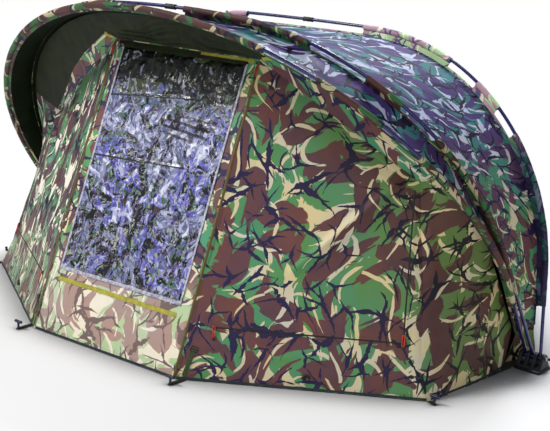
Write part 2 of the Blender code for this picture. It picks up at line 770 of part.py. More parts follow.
def make_door(camo, net, clear, tape):
    """Door cloth with its window opening, the net in it, the clear cover over it and the tape below."""
    half_low = between(DOOR_FOOT_HALF, DOOR_TOP_HALF, DOOR_HEM / DOOR_HEIGHT)
    outer = shrink([(-half_low, DOOR_HEM - SEAM), (half_low, DOOR_HEM - SEAM),
                    (DOOR_TOP_HALF, DOOR_HEIGHT), (-DOOR_TOP_HALF, DOOR_HEIGHT)], SEAM)
    hole = [(-DOOR_NET_HALF, DOOR_NET_BOTTOM), (DOOR_NET_HALF, DOOR_NET_BOTTOM),
            (DOOR_NET_HALF, DOOR_NET_TOP), (-DOOR_NET_HALF, DOOR_NET_TOP)]
    hinge = Vector((0.0, -DOOR_TOP_REACH, DOOR_TOP_HEIGHT)) + DOOR.out * DOOR_HINGE_PROUD
    verts = [DOOR.place(*c) for c in outer + hole]
    faces = [(k, (k + 1) % 4, (k + 1) % 4 + 4, k + 4) for k in range(4)]
    set_origin(thicken(add_mesh("door_panel", verts, faces, camo), CLOTH), hinge)
    mesh_corners = shrink(hole, SEAM)
    verts = [DOOR.place(*c) for c in mesh_corners]
    set_origin(thicken(add_mesh("door_net", verts, [(0, 1, 2, 3)], net), NET), hinge)
    lift = CLOTH / 2.0 + GAP
    cover = [(-WINDOW_HALF, WINDOW_BOTTOM), (WINDOW_HALF, WINDOW_BOTTOM),
             (WINDOW_HALF, WINDOW_TOP), (-WINDOW_HALF, WINDOW_TOP)]
    ring = [DOOR.place(a, u, lift) for a, u in cover]
    set_origin(prism("window_cover", ring, DOOR.out * WINDOW_SHEET, clear), hinge)
    low = DOOR_TAPE_HEIGHT - DOOR_TAPE_WIDTH / 2.0
    high = DOOR_TAPE_HEIGHT + DOOR_TAPE_WIDTH / 2.0
    strip = [(-DOOR_TAPE_HALF, low), (DOOR_TAPE_HALF, low), (DOOR_TAPE_HALF, high), (-DOOR_TAPE_HALF, high)]
    ring = [DOOR.place(a, u, lift) for a, u in strip]
    set_origin(prism("door_tape", ring, DOOR.out * ZIP_TAPE_THICKNESS, tape), hinge)


class ZipLine:
    """A straight zip: its two ends, and the outward direction that it lies across."""

    def __init__(self, start, end, out, fold):
        self.start = start
        self.along = (end - start).normalized()
        self.length = (end - start).length
        self.out = (out - self.along * out.dot(self.along)).normalized()
        self.across = self.along.cross(self.out)
        self.fold = fold
        self.base = (CLOTH / 2.0 + GAP) / math.cos(fold)
        self.top = self.base + ZIP_TAPE_THICKNESS / math.cos(fold) + COIL_HEIGHT

    def place(self, run, across, out):
        return self.start + self.along * run + self.across * across + self.out * out

    def profile(self):
        """Section of both tapes, folded over the seam, with the coil along the middle."""
        drop = math.tan(self.fold)
        half = ZIP_TAPE_WIDTH / 2.0
        coil = COIL_WIDTH / 2.0
        tape_top = self.base + ZIP_TAPE_THICKNESS / math.cos(self.fold)
        return [(-half, self.base - half * drop), (0.0, self.base), (half, self.base - half * drop),
                (half, tape_top - half * drop), (coil, tape_top - coil * drop), (coil * 0.7, self.top),
                (-coil * 0.7, self.top), (-coil, tape_top - coil * drop), (-half, tape_top - half * drop)]


def make_zip(name, line, side, finish, low=ZIP_END_MARGIN, high_margin=ZIP_END_MARGIN):
    rings = []
    for run in (low, line.length - high_margin):
        rings.append([sided(line.place(run, a, o), side) for a, o in line.profile()])
    return loft(name, rings, finish, smooth=False)


def make_slider(name, line, side, run, hang, finish):
    """A zip slider with its looped pull, hanging down from it."""
    base = line.top + GAP
    half = SLIDER_WIDTH / 2.0
    nose = SLIDER_LENGTH / 2.0
    outline = [(-nose, -half * 0.6), (0.0, -half), (nose, -half * 0.8), (nose, half * 0.8), (0.0, half),
               (-nose, half * 0.6)]
    centre = line.place(run, 0.0, base)
    body_ring = [sided(centre + line.along * a + line.across * c, side) for a, c in outline]
    out = line.out if side > 0 else mirror_x(line.out)
    body = prism(name, body_ring, out * SLIDER_HEIGHT, finish)
    down = hang.normalized()
    cross = down.cross(line.out).normalized()
    reach = PULL_LENGTH - 2.0 * PULL_RADIUS
    start = centre + line.out * (SLIDER_HEIGHT - PULL_THICKNESS)
    rings = []
    for radius in (PULL_RADIUS, PULL_HOLE_RADIUS):
        ring = []
        for k in range(PULL_SIDES):
            turn = math.pi * 2.0 * (k + 0.5) / PULL_SIDES
            shift = reach if math.sin(turn) > 0.0 else 0.0
            spot = start + cross * (radius * math.cos(turn)) + down * (radius * math.sin(turn) + shift)
            ring.append(sided(spot, side))
        rings.append(ring)
    pull = holed_prism(name + "_pull", rings[0], rings[1], out * PULL_THICKNESS, finish)
    return set_origin(combine(body, pull, "UNION"), sided(centre, side))


def door_zip_line():
    """Runs up the seam between the door and the right side panel."""
    out = DOOR.out + SIDE.out
    fold = math.acos(max(-1.0, min(1.0, DOOR.out.dot(SIDE.out)))) / 2.0
    return ZipLine(DOOR_FOOT, DOOR_TOP, out, fold)


def flap_zip_lines():
    low_in, low_out, high_out, high_in = (SIDE.place(*c) for c in FLAP)
    del high_in
    upright = ZipLine(low_out, high_out, SIDE.out, 0.0)
    level = ZipLine(low_in, low_out, SIDE.out, 0.0)
    return upright, level


def make_zips(zip_tape, pull):
    door_line = door_zip_line()
    upright, level = flap_zip_lines()
    for name, side in (("left", -1), ("right", 1)):
        make_zip("door_zip_" + name, door_line, side, zip_tape)
        make_slider("door_slider_" + name, door_line, side, door_line.length - DOOR_SLIDER_DROP,
                    -DOOR.up, pull)
        make_zip("flap_zip_upright_" + name, upright, side, zip_tape, low=ZIP_TAPE_WIDTH / 2.0 + GAP)
        make_slider("flap_slider_upright_" + name, upright, side, FLAP_SLIDER_MARGIN, -SIDE.up, pull)
        make_zip("flap_zip_level_" + name, level, side, zip_tape, high_margin=0.0)
        make_slider("flap_slider_level_" + name, level, side, FLAP_SLIDER_MARGIN / 2.0, -SIDE.up, pull)


def make_hub(name, side, finish):
    """Moulded hub: four cheeks on a foot plate, three slots for the rib eyes and a lug for a peg."""
    centre = Vector((side * HUB_HALF_SPAN, 0.0, 0.0))
    cheek = HUB_PITCH - SLOT_WIDTH
    half_width = 1.5 * HUB_PITCH + cheek / 2.0
    outline = [Vector((0.0, -CHEEK_FOOT_LENGTH / 2.0, HUB_PLATE_THICKNESS / 2.0))]
    outline.append(Vector((0.0, CHEEK_FOOT_LENGTH / 2.0, HUB_PLATE_THICKNESS / 2.0)))
    for k in range(9):
        turn = math.pi * (0.08 + 0.84 * k / 8.0)
        outline.append(Vector((0.0, CHEEK_RADIUS * math.cos(turn), PIVOT_HEIGHT + CHEEK_RADIUS * math.sin(turn))))
    start = centre - Vector((half_width, 0.0, 0.0))
    hub = prism(name, [start + p for p in outline], Vector((2.0 * half_width, 0.0, 0.0)), finish)
    plate_x = half_width + HUB_PLATE_BORDER
    plate_y = HUB_PLATE_LENGTH / 2.0
    plate = []
    for sx, sy, first in ((1, 1, 0), (-1, 1, 1), (-1, -1, 2), (1, -1, 3)):
        for k in range(4):
            turn = math.pi / 2.0 * (first + k / 3.0)
            plate.append(Vector((sx * (plate_x - HUB_PLATE_ROUND) + HUB_PLATE_ROUND * math.cos(turn),
                                 sy * (plate_y - HUB_PLATE_ROUND) + HUB_PLATE_ROUND * math.sin(turn), 0.0)))
    rise = Vector((0.0, 0.0, HUB_PLATE_THICKNESS))
    foot = prism(name + "_plate", [centre + p for p in plate], rise, finish)
    lug_centre = hub_peg_place(side)
    lug_ring = disc(Vector((lug_centre.x, lug_centre.y, 0.0)), Vector((1.0, 0.0, 0.0)),
                    Vector((0.0, 1.0, 0.0)), PEG_LUG_RADIUS, ROUND_SIDES)
    lug = prism(name + "_lug", lug_ring, rise, finish)
    combine(hub, foot, "UNION")
    combine(hub, lug, "UNION")
    slots = slot_cutter(name + "_slots", centre, finish)
    combine(hub, slots, "DIFFERENCE")
    reach = Vector((half_width + OVERRUN, 0.0, 0.0))
    axis = centre + PIVOT
    bolt_hole = rod(name + "_bolt_hole", axis - reach, axis + reach, BOLT_RADIUS + GAP, ROUND_SIDES, finish)
    combine(hub, bolt_hole, "DIFFERENCE")
    drop = Vector((0.0, 0.0, OVERRUN))
    peg_hole = rod(name + "_peg_hole", lug_centre - drop, lug_centre + rise + drop, PEG_RADIUS + GAP,
                   PEG_SIDES, finish)
    combine(hub, peg_hole, "DIFFERENCE")
    return set_origin(hub, centre)


def slot_cutter(name, centre, finish):
    verts = []
    faces = []
    for k in (-1, 0, 1):
        base = len(verts)
        for dx in (-1, 1):
            for dy in (-1, 1):
                for z in (SLOT_FLOOR, PIVOT_HEIGHT + CHEEK_RADIUS + OVERRUN):
                    verts.append(centre + Vector((k * HUB_PITCH + dx * SLOT_WIDTH / 2.0,
                                                  dy * (CHEEK_FOOT_LENGTH / 2.0 + OVERRUN), z)))
        for face in ((0, 1, 3, 2), (4, 6, 7, 5), (0, 4, 5, 1), (2, 3, 7, 6), (0, 2, 6, 4), (1, 5, 7, 3)):
            faces.append(tuple(base + i for i in face))
    return add_mesh(name, verts, faces, finish)


def hub_peg_place(side):
    return Vector((side * (HUB_HALF_SPAN + HUB_PITCH), HUB_PLATE_LENGTH / 2.0 + PEG_LUG_REACH - PEG_LUG_RADIUS,
                   0.0))


def make_bolt(name, side, finish):
    """The pivot bolt with its head outside and its nut inside."""
    cheek = HUB_PITCH - SLOT_WIDTH
    half_width = 1.5 * HUB_PITCH + cheek / 2.0
    seat = half_width + GAP
    steps = [(-seat - NUT_LENGTH, BOLT_HEAD_RADIUS), (-seat, BOLT_HEAD_RADIUS), (-seat, BOLT_RADIUS),
             (seat, BOLT_RADIUS), (seat, BOLT_HEAD_RADIUS), (seat + BOLT_HEAD_LENGTH, BOLT_HEAD_RADIUS)]
    centre = PIVOT + Vector((side * HUB_HALF_SPAN, 0.0, 0.0))
    rings = []
    for x, radius in steps:
        spot = centre + Vector((side * x, 0.0, 0.0))
        rings.append(disc(spot, Vector((0.0, 1.0, 0.0)), Vector((0.0, 0.0, 1.0)), radius, ROUND_SIDES))
    return set_origin(loft(name, rings, finish), centre)


def make_peg(name, place, finish):
    """The part of a tee peg that stands out of the ground."""
    top = place + Vector((0.0, 0.0, PEG_HEIGHT))
    peg = rod(name, place, top, PEG_RADIUS, PEG_SIDES, finish)
    arm = Vector((PEG_HEAD_HALF, 0.0, 0.0))
    head = rod(name + "_head", top - arm, top + arm, PEG_HEAD_RADIUS, PEG_SIDES, finish)
    return set_origin(combine(peg, head, "UNION"), place)


def make_loop(name, hem_point, wall, start, peg, finish):
    """A flat webbing loop from the hem to its peg, cut off along the wall that it comes from."""
    away = Vector((peg.x - hem_point.x, peg.y - hem_point.y, 0.0)).normalized()
    cross = Vector((-away.y, away.x, 0.0))
    half = LOOP_WIDTH / 2.0
    edge = wall * (half / wall.dot(cross))
    near = Vector((hem_point.x, hem_point.y, 0.0)) + away * start
    outline = [near + edge, near - edge]
    for k in range(7):
        turn = -math.pi / 2.0 + math.pi * k / 6.0
        outline.append(peg + away * (half * math.cos(turn)) + cross * (half * math.sin(turn)))
    lift = Vector((0.0, 0.0, LOOP_LIFT))
    loop = prism(name, [p + lift for p in outline], Vector((0.0, 0.0, LOOP_THICKNESS)), finish)
    drop = Vector((0.0, 0.0, OVERRUN))
    hole = rod(name + "_hole", peg - drop, peg + drop + drop, PEG_RADIUS + GAP, PEG_SIDES, finish)
    return combine(loop, hole, "DIFFERENCE")


def peg_places():
    """Each peg's name and place, then its loop's hem point, wall line and step off the wall."""
    corner_away = Vector((CORNER_OUT, -CORNER_REACH, 0.0)).normalized()
    rear_corner = Vector((REAR_CORNER_HALF, REAR_REACH, 0.0))
    rear_away = rear_corner.normalized()
    hem = SIDE.place(STRAP_FOOT_ALONG, 0.0)
    door_peg = Vector((DOOR_FOOT_HALF + DOOR_PEG_SIDE_STEP, -DOOR_FOOT_REACH - DOOR_PEG_STEP, 0.0))
    return [("door", door_peg, hem, SIDE.along, DOOR_LOOP_START),
            ("corner", CORNER + corner_away * CORNER_PEG_STEP, CORNER,
             Vector((-corner_away.y, corner_away.x, 0.0)), CORNER_LOOP_START),
            ("rear", rear_corner + rear_away * CORNER_PEG_STEP, rear_corner,
             Vector((-rear_away.y, rear_away.x, 0.0)), REAR_LOOP_START)]


def make_pegs(peg_finish, webbing):
    for name, side in (("left", -1), ("right", 1)):
        for kind, place, hem, wall, start in peg_places():
            make_peg("peg_" + kind + "_" + name, sided(place, side), peg_finish)
            make_loop("peg_loop_" + kind + "_" + name, sided(hem, side), sided(wall, side),
                      start, sided(place, side), webbing)
        make_peg("peg_hub_" + name, hub_peg_place(side), peg_finish)


def make_strap(name, side, finish):
    """The strap that draws the door corner down to its peg, with its ladder buckle."""
    lift = CLOTH / 2.0 + GAP
    top = Vector((STRAP_TOP_ALONG, STRAP_TOP_UP))
    foot = Vector((STRAP_FOOT_ALONG, STRAP_FOOT_UP))
    run = (top - foot).normalized()
    cross = Vector((-run.y, run.x))
    half = STRAP_WIDTH / 2.0

    def ring(centre_points, half_width, out):
        corners = [centre_points[0] - cross * half_width, centre_points[0] + cross * half_width,
                   centre_points[1] + cross * half_width, centre_points[1] - cross * half_width]
        return [sided(SIDE.place(c.x, c.y, out), side) for c in corners]

    out = SIDE.out if side > 0 else mirror_x(SIDE.out)
    strap = prism(name, ring((foot, top), half, lift), out * LOOP_THICKNESS, finish)
    seat = top - run * BUCKLE_LENGTH
    buckle = prism(name + "_buckle", ring((seat, top), BUCKLE_WIDTH / 2.0, lift), out * BUCKLE_HEIGHT, finish)
    return combine(strap, buckle, "UNION")


def make_groundsheet(finish):
    """Sheet under the whole tent, stopping short of the hub plates."""
    cheek = HUB_PITCH - SLOT_WIDTH
    hub_edge = HUB_HALF_SPAN - 1.5 * HUB_PITCH - cheek / 2.0 - HUB_PLATE_BORDER - HUB_CLEARANCE
    half_right = [(DOOR_FOOT_HALF, -DOOR_FOOT_REACH + GROUNDSHEET_INSET),
                  (CORNER_OUT - GROUNDSHEET_INSET, -CORNER_REACH),
                  (WING_BELLY_OUT - GROUNDSHEET_INSET, -WING_BELLY_REACH),
                  (hub_edge, -WING_FOOT_REACH), (hub_edge, REAR_FOOT_REACH),
                  (REAR_CORNER_HALF, REAR_REACH - GROUNDSHEET_INSET)]
    ring = [Vector((x, y, 0.0)) for x, y in half_right]
    ring += [mirror_x(p) for p in reversed(ring)]
    return prism("groundsheet", ring, Vector((0.0, 0.0, GROUNDSHEET_THICKNESS)), finish)


def main():
    clear_scene()
    camo = material("camo_canopy_cloth", CLOTH_GREEN, 0.75)
    camo_panel = material("camo_panel_cloth", CLOTH_SAND, 0.75)
    camo_sleeve = material("camo_sleeve_cloth", CLOTH_BROWN, 0.75)
    lining = material("dark_green_lining", LINING_GREEN, 0.80)
    pole = material("navy_pole", POLE_NAVY, 0.30, 0.6)
    black = material("black_moulding", HUB_BLACK, 0.50)
    steel = material("steel_bolt", STEEL, 0.35, 1.0)
    zip_tape = material("olive_zip", ZIP_OLIVE, 0.70)
    tape = material("olive_tape", TAPE_YELLOW, 0.70)
    pull = material("red_pull", PULL_RED, 0.50)
    peg = material("navy_peg", PEG_NAVY, 0.40)
    webbing = material("black_webbing", HUB_BLACK, 0.80)
    clear = material("clear_sheet", CLEAR_SHEET, 0.10)
    net = material("dark_net", NET_DARK, 0.90)

    make_groundsheet(material("groundsheet_black", HUB_BLACK, 0.60))
    for name, side in (("left", -1), ("right", 1)):
        make_hub("hub_" + name, side, black)
        make_bolt("pivot_bolt_" + name, side, steel)
        for rib, hoop in (("front", FRONT), ("mid", MID), ("rear", REAR)):
            make_pole(rib + "_pole_" + name, hoop, side, pole)
        make_side_panel("side_panel_" + name, side, camo_panel)
        make_flap("flap_" + name, side, camo_panel)
        make_wing("wing_" + name, side, camo_panel)
        make_strap("door_strap_" + name, side, webbing)
    for rib, hoop in (("front", FRONT), ("mid", MID), ("rear", REAR)):
        make_joint(rib + "_crown_joint", hoop, black)
    make_sleeve("front_sleeve", FRONT, FRONT_STANDOFF, FRONT_SLEEVE_SHARES, camo_sleeve)
    make_sleeve("mid_sleeve", MID, MID_STANDOFF, MID_SLEEVE_SHARES, camo_sleeve)
    make_sleeve("rear_sleeve", REAR, REAR_STANDOFF, REAR_SLEEVE_SHARES, camo_sleeve)
    make_canopy(camo)
    make_header(lining)
    make_door(camo_panel, net, clear, tape)
    make_zips(zip_tape, pull)
    make_pegs(peg, webbing)


main()
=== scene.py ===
# Pram hood bivvy tent in camouflage cloth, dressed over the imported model.
# Metres, +Z up, front towards -Y, origin on the ground midway between the hubs.

import bmesh
import math

import bpy
import numpy as np
from mathutils import Matrix, Vector


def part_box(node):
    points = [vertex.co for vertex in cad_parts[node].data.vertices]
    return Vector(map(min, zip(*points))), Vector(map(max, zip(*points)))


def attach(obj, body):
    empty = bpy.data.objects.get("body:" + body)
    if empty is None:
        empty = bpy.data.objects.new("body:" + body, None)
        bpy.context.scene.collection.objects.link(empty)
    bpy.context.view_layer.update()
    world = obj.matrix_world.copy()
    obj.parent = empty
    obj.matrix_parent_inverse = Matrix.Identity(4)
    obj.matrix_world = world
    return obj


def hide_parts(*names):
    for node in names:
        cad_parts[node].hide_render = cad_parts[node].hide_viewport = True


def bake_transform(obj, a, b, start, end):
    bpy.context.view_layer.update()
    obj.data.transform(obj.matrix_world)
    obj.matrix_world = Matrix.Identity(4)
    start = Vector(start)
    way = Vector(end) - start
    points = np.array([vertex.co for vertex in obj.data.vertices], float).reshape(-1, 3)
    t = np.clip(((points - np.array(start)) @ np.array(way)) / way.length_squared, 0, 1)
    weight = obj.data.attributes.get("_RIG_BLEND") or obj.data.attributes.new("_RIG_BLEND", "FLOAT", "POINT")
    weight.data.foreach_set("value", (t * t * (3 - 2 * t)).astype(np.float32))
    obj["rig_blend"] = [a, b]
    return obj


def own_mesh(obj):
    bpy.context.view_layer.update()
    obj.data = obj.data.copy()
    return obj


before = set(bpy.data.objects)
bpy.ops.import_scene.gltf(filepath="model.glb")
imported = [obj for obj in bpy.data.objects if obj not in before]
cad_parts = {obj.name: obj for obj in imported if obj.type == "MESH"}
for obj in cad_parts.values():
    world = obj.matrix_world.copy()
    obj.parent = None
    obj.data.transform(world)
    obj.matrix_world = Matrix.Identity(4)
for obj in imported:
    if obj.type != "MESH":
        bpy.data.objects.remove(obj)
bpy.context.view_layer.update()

# sizes shared with the model's source
CLOTH = 0.0015
PIVOT = np.array((0.0, 0.0, 0.060))
HUB_SPAN = 1.500
HUB_PITCH = 0.036
RIB_RADIUS = 0.0080
SLEEVE_RADIUS = 0.0140
SLEEVE_INSET = 0.0041
CANOPY_START = 0.150
SEWN_AHEAD = 0.00225
HEM = 0.0026
REAR_HEM = 0.0009


# ribs and planes

class Hoop:
    """A rib's centre line: straight leg, shoulder bend and crown bend."""

    def __init__(self, angle, foot, lean, leg, shoulder, turn):
        angle = math.radians(angle)
        self.foot, self.leg, self.shoulder, self.turn = foot, leg, shoulder, math.radians(turn)
        self.start = math.pi / 2 + math.radians(lean)
        self.bend_end = self.start + self.turn
        x = foot + leg * math.cos(self.start) + shoulder * (math.sin(self.bend_end) - math.sin(self.start))
        self.crown = x / math.sin(self.bend_end)
        self.half = leg + shoulder * self.turn + self.crown * (math.pi - self.bend_end)
        self.out = np.array((0.0, -math.cos(angle), math.sin(angle)))
        self.ahead = np.array((0.0, -math.sin(angle), -math.cos(angle)))
        marks = []
        for k in range(17):
            heading = math.pi - (math.pi - self.start) * k / 16
            run = (leg + (heading - self.start) * shoulder if heading <= self.bend_end
                   else self.half - (math.pi - heading) * self.crown)
            marks.append(1 - run / self.half)
        self.marks = np.array(marks)

    def flat(self, run):
        """Half width, radius from the pivot line and heading at a run up from the foot."""
        run = np.asarray(run, float)
        leg = np.minimum(run, self.leg)
        bend = self.start + np.clip((run - self.leg) / self.shoulder, 0, self.turn)
        heading = bend + np.maximum(run - self.leg - self.shoulder * self.turn, 0) / self.crown
        x = (self.foot + leg * math.cos(self.start) + self.shoulder * (np.sin(bend) - math.sin(self.start))
             + self.crown * (np.sin(heading) - np.sin(bend)))
        r = (leg * math.sin(self.start) + self.shoulder * (math.cos(self.start) - np.cos(bend))
             + self.crown * (np.cos(bend) - np.cos(heading)))
        return x, r, heading

    def point(self, share, inset=0.0, ahead=0.0):
        """Share 0 is the crown, 1 the right foot and -1 the left foot."""
        share, inset, ahead = np.broadcast_arrays(np.asarray(share, float), inset, ahead)
        x, r, heading = self.flat(self.half * (1 - np.abs(share)))
        x = (x - inset * np.sin(heading)) * np.where(share < 0, -1, 1)
        r = r + inset * np.cos(heading)
        place = r[..., None] * self.out + ahead[..., None] * self.ahead + PIVOT
        place[..., 0] += x
        return place

    def sewn(self, knot, inset, ahead=0.0):
        """A canopy edge, by a knot from -1 to 1 that the panels on both sides share."""
        knots = np.arange(18) / 17
        shares = np.append(self.marks, 1 - CANOPY_START / self.half)
        share = np.interp(np.abs(knot), knots, shares) * np.where(knot < 0, -1, 1)
        return self.point(share, inset, ahead)

    def knot(self, share):
        """The knot at a share of the rib, the other way round."""
        shares = np.append(self.marks, 1 - CANOPY_START / self.half)
        return np.interp(np.abs(share), shares, np.arange(18) / 17) * np.where(share < 0, -1, 1)


FRONT = Hoop(51.2, HUB_SPAN - HUB_PITCH, -2.9, 0.497, 1.164, 35.6)
MID = Hoop(57.8, HUB_SPAN, 3.6, 0.632, 1.173, 81.5)
REAR = Hoop(95.6, HUB_SPAN + HUB_PITCH, 5.9, 0.392, 1.125, 83.1)
FRONT_STANDOFF, MID_STANDOFF, REAR_STANDOFF = 0.033, 0.045, 0.045


def unit(v):
    """Vectors made one long."""
    v = np.asarray(v, float)
    return v / np.linalg.norm(v, axis=-1, keepdims=True)


class Plane:
    """A flat panel's own axes: along, up and out."""

    def __init__(self, origin, along_to, up_hint):
        self.origin = np.array(origin, float)
        self.along = unit(np.array(along_to) - self.origin)
        self.out = unit(np.cross(self.along, np.array(up_hint) - self.origin))
        self.up = np.cross(self.out, self.along)

    def place(self, along, up, out=0.0):
        """A point of the panel in the tent's axes."""
        along, up, out = np.broadcast_arrays(along, up, out)
        return (self.origin + along[..., None] * self.along + up[..., None] * self.up
                + out[..., None] * self.out)

    def read(self, point):
        """How far along and up the panel a point lies."""
        off = np.asarray(point) - self.origin
        return off @ self.along, off @ self.up


DOOR_FOOT = np.array((0.442, -1.304, 0.0))
DOOR_TOP = np.array((0.430, -0.8165, 1.345))
CORNER = np.array((1.364, -0.711, 0.0))
SIDE = Plane(DOOR_FOOT, CORNER, DOOR_TOP)
SHOULDER_AT = (0.985, 0.925)
SHOULDER = SIDE.place(*SHOULDER_AT)
DOOR = Plane((0.0, -1.304, 0.0), DOOR_FOOT, DOOR_TOP * (0, 1, 1))
DOOR_HEIGHT = DOOR.read(DOOR_TOP)[1]
TOP_ALONG, TOP_UP = SIDE.read(DOOR_TOP)
CORNER_ALONG = SIDE.read(CORNER)[0]
FLAP_LOW = 0.235
FLAP = np.array(((0.1423, FLAP_LOW), (0.965, FLAP_LOW), (0.965, 0.9032), (0.3374, 1.3177)))
MIRROR = np.array((-1.0, 1.0, 1.0))


# noise

def hashed(ix, iy, seed):
    """A fixed random number from 0 to 1 for a grid corner."""
    h = np.sin(ix * 127.1 + iy * 311.7 + seed * 74.7) * 43758.5453
    return h - np.floor(h)


def noise(x, y, seed):
    """Smooth gradient noise, about -0.7 to 0.7."""
    x, y = np.broadcast_arrays(np.asarray(x, float), y)
    x0, y0 = np.floor(x), np.floor(y)
    total = np.zeros(x.shape)
    for dx in (0, 1):
        for dy in (0, 1):
            turn = hashed(x0 + dx, y0 + dy, seed) * 2 * math.pi
            fx, fy = x - x0 - dx, y - y0 - dy
            wx, wy = 1 - np.abs(fx), 1 - np.abs(fy)
            fade = (wx ** 3 * (wx * (wx * 6 - 15) + 10)) * (wy ** 3 * (wy * (wy * 6 - 15) + 10))
            total += fade * (np.cos(turn) * fx + np.sin(turn) * fy)
    return total


def step(value, low, high):
    """Rises smoothly from 0 to 1 between low and high."""
    t = np.clip((value - low) / (high - low), 0, 1)
    return t * t * (3 - 2 * t)


def crumple(x, y, size, height, seed):
    """Sharp small creases between soft flats."""
    total = 0.0
    for k in range(3):
        f = 1.9 ** k / size
        total = total + height / 1.8 ** k * (0.45 - np.abs(noise(x * f, y * f, seed + k)))
    return total


def ripples(run, off, reach, pitch, height, seed):
    """Little tension folds that stand square to a seam and die away from it."""
    fade = np.exp(-off / reach)
    wander = 1.6 * noise(run / (pitch * 2.6), off * 3, seed)
    return height * fade * np.sin(2 * math.pi * (run / pitch + wander))


def ridge(x, y, start, end, width, height, seed=0.0):
    """A fold from start to end that fades at both ends and wavers a little."""
    start, end = np.array(start, float), np.array(end, float)
    way = end - start
    length = np.linalg.norm(way)
    way = way / length
    run = (x - start[0]) * way[0] + (y - start[1]) * way[1]
    waver = 0.25 * width * noise(run / 0.12, run * 0 + seed, 5)
    off = (x - start[0]) * way[1] - (y - start[1]) * way[0] + waver
    share = np.clip(run / length, 0, 1)
    return height * np.sqrt(np.clip(4 * share * (1 - share), 0, 1)) * np.exp(-(off / width) ** 2)


# meshes

def lengths(place, axis):
    """Run along a grid's rows or columns from its first edge."""
    d = np.linalg.norm(np.diff(place, axis=axis), axis=-1)
    return np.insert(np.cumsum(d, axis=axis), 0, 0, axis=axis)


def normals(place):
    """A grid's own normal at each point."""
    di, dj = np.gradient(place, axis=0), np.gradient(place, axis=1)
    n = np.cross(dj, di)
    return n / np.maximum(np.linalg.norm(n, axis=-1, keepdims=True), 1e-12)


def quads(rows, columns, closed=False):
    """Faces of a grid, joined round its last column when closed."""
    i, j = np.meshgrid(np.arange(rows - 1), np.arange(columns if closed else columns - 1), indexing="ij")
    a, b = i * columns + j, i * columns + (j + 1) % columns
    return np.stack((a, b, b + columns, a + columns), -1).reshape(-1, 4)


def build(name, verts, faces, finishes, slots=None, uv=None, sharp=50.0):
    """A new object from points and faces, with its finishes and its cloth coordinates."""
    mesh = bpy.data.meshes.new(name)
    mesh.from_pydata(np.asarray(verts).tolist(), [], [list(map(int, f)) for f in faces])
    if slots is not None:
        mesh.polygons.foreach_set("material_index", np.asarray(slots, np.int32))
    if uv is not None:
        layer = mesh.uv_layers.new(name="cloth")
        corner = np.empty(len(mesh.loops), np.int32)
        mesh.loops.foreach_get("vertex_index", corner)
        layer.data.foreach_set("uv", np.asarray(uv, np.float32)[corner].ravel())
    mesh.shade_smooth()
    mesh.set_sharp_from_angle(angle=math.radians(sharp))
    for finish in finishes:
        mesh.materials.append(finish)
    mesh.update()
    piece = bpy.data.objects.new(name, mesh)
    bpy.context.scene.collection.objects.link(piece)
    return piece


def layered(grids, inside, thickness=CLOTH):
    """Outer and inner skin with a rim for each grid of (place, uv), facing away from a point inside."""
    verts, faces, slots, uvs, base = [], [], [], [], 0
    for place, uv in grids:
        normal = normals(place)
        if inside is not None and ((place - inside) * normal).sum() < 0:
            place, uv = place[:, ::-1], uv[:, ::-1]
            normal = normals(place)
        rows, columns = place.shape[:2]
        count = rows * columns
        skin = quads(rows, columns)
        ring = np.concatenate((np.arange(columns), np.arange(1, rows) * columns + columns - 1,
                               count - 2 - np.arange(columns - 1), np.arange(rows - 2, 0, -1) * columns))
        after = np.roll(ring, -1)
        rim = np.stack((after, ring, ring + count, after + count), -1)
        verts += [(place + way * normal * thickness / 2).reshape(-1, 3) for way in (1, -1)]
        faces += [skin + base, skin[:, ::-1] + count + base, rim + base]
        slots += [0] * len(skin) + [1] * len(skin) + [0] * len(rim)
        uvs += [uv.reshape(-1, 2)] * 2
        base += 2 * count
    return np.concatenate(verts), np.concatenate(faces), slots, np.concatenate(uvs)


def cloth(name, grids, finishes, inside=(0.0, -0.3, 0.5), thickness=CLOTH,
          beside=False):
    """A sheet of cloth from one grid of points or several, measured flat as laid in a column or beside each
    other.
    """
    grids = grids if isinstance(grids, list) else [grids]
    verts, faces, slots, uvs = layered(grids, np.array(inside), thickness)
    piece = build(name, verts, faces, finishes, slots, uvs)
    wide = [lengths(place, 1)[:, -1].max() for place, _ in grids]
    tall = [lengths(place, 0)[-1].max() for place, _ in grids]
    wide, tall = (sum(wide), max(tall)) if beside else (max(wide), sum(tall))
    return piece


def swept(path, section, up):
    """Rings of a section's (side, out) points carried along a path."""
    path = np.asarray(path, float)
    way = unit(np.gradient(path, axis=0))
    side = unit(np.cross(way, up))
    out = np.cross(side, way)
    section = np.asarray(section, float)
    if section.ndim == 2:
        section = np.tile(section, (len(path), 1, 1))
    return path[:, None] + section[..., :1] * side[:, None] + section[..., 1:] * out[:, None]


def skin(rings, capped=True):
    """Points and faces of a closed tube through rings."""
    rows, columns = rings.shape[:2]
    faces = [tuple(f) for f in quads(rows, columns, closed=True)]
    if capped:
        faces += [tuple(range(columns))[::-1], tuple(range((rows - 1) * columns, rows * columns))]
    return rings.reshape(-1, 3), faces


def join(parts):
    """Several lots of points and faces as one."""
    verts, faces, base = [], [], 0
    for v, f in parts:
        verts.append(np.asarray(v))
        faces += [tuple(int(i) + base for i in face) for face in f]
        base += len(v)
    return np.concatenate(verts), faces


def circle(radius, sides):
    """A round section's points."""
    t = np.arange(sides) * 2 * math.pi / sides
    return np.stack((radius * np.cos(t), radius * np.sin(t)), -1)


def outward(piece):
    """Turns a piece's closed shells so that their faces look outwards."""
    import bmesh
    tidy = bmesh.new()
    tidy.from_mesh(piece.data)
    bmesh.ops.recalc_face_normals(tidy, faces=tidy.faces[:])
    tidy.to_mesh(piece.data)
    tidy.free()
    return piece


# materials

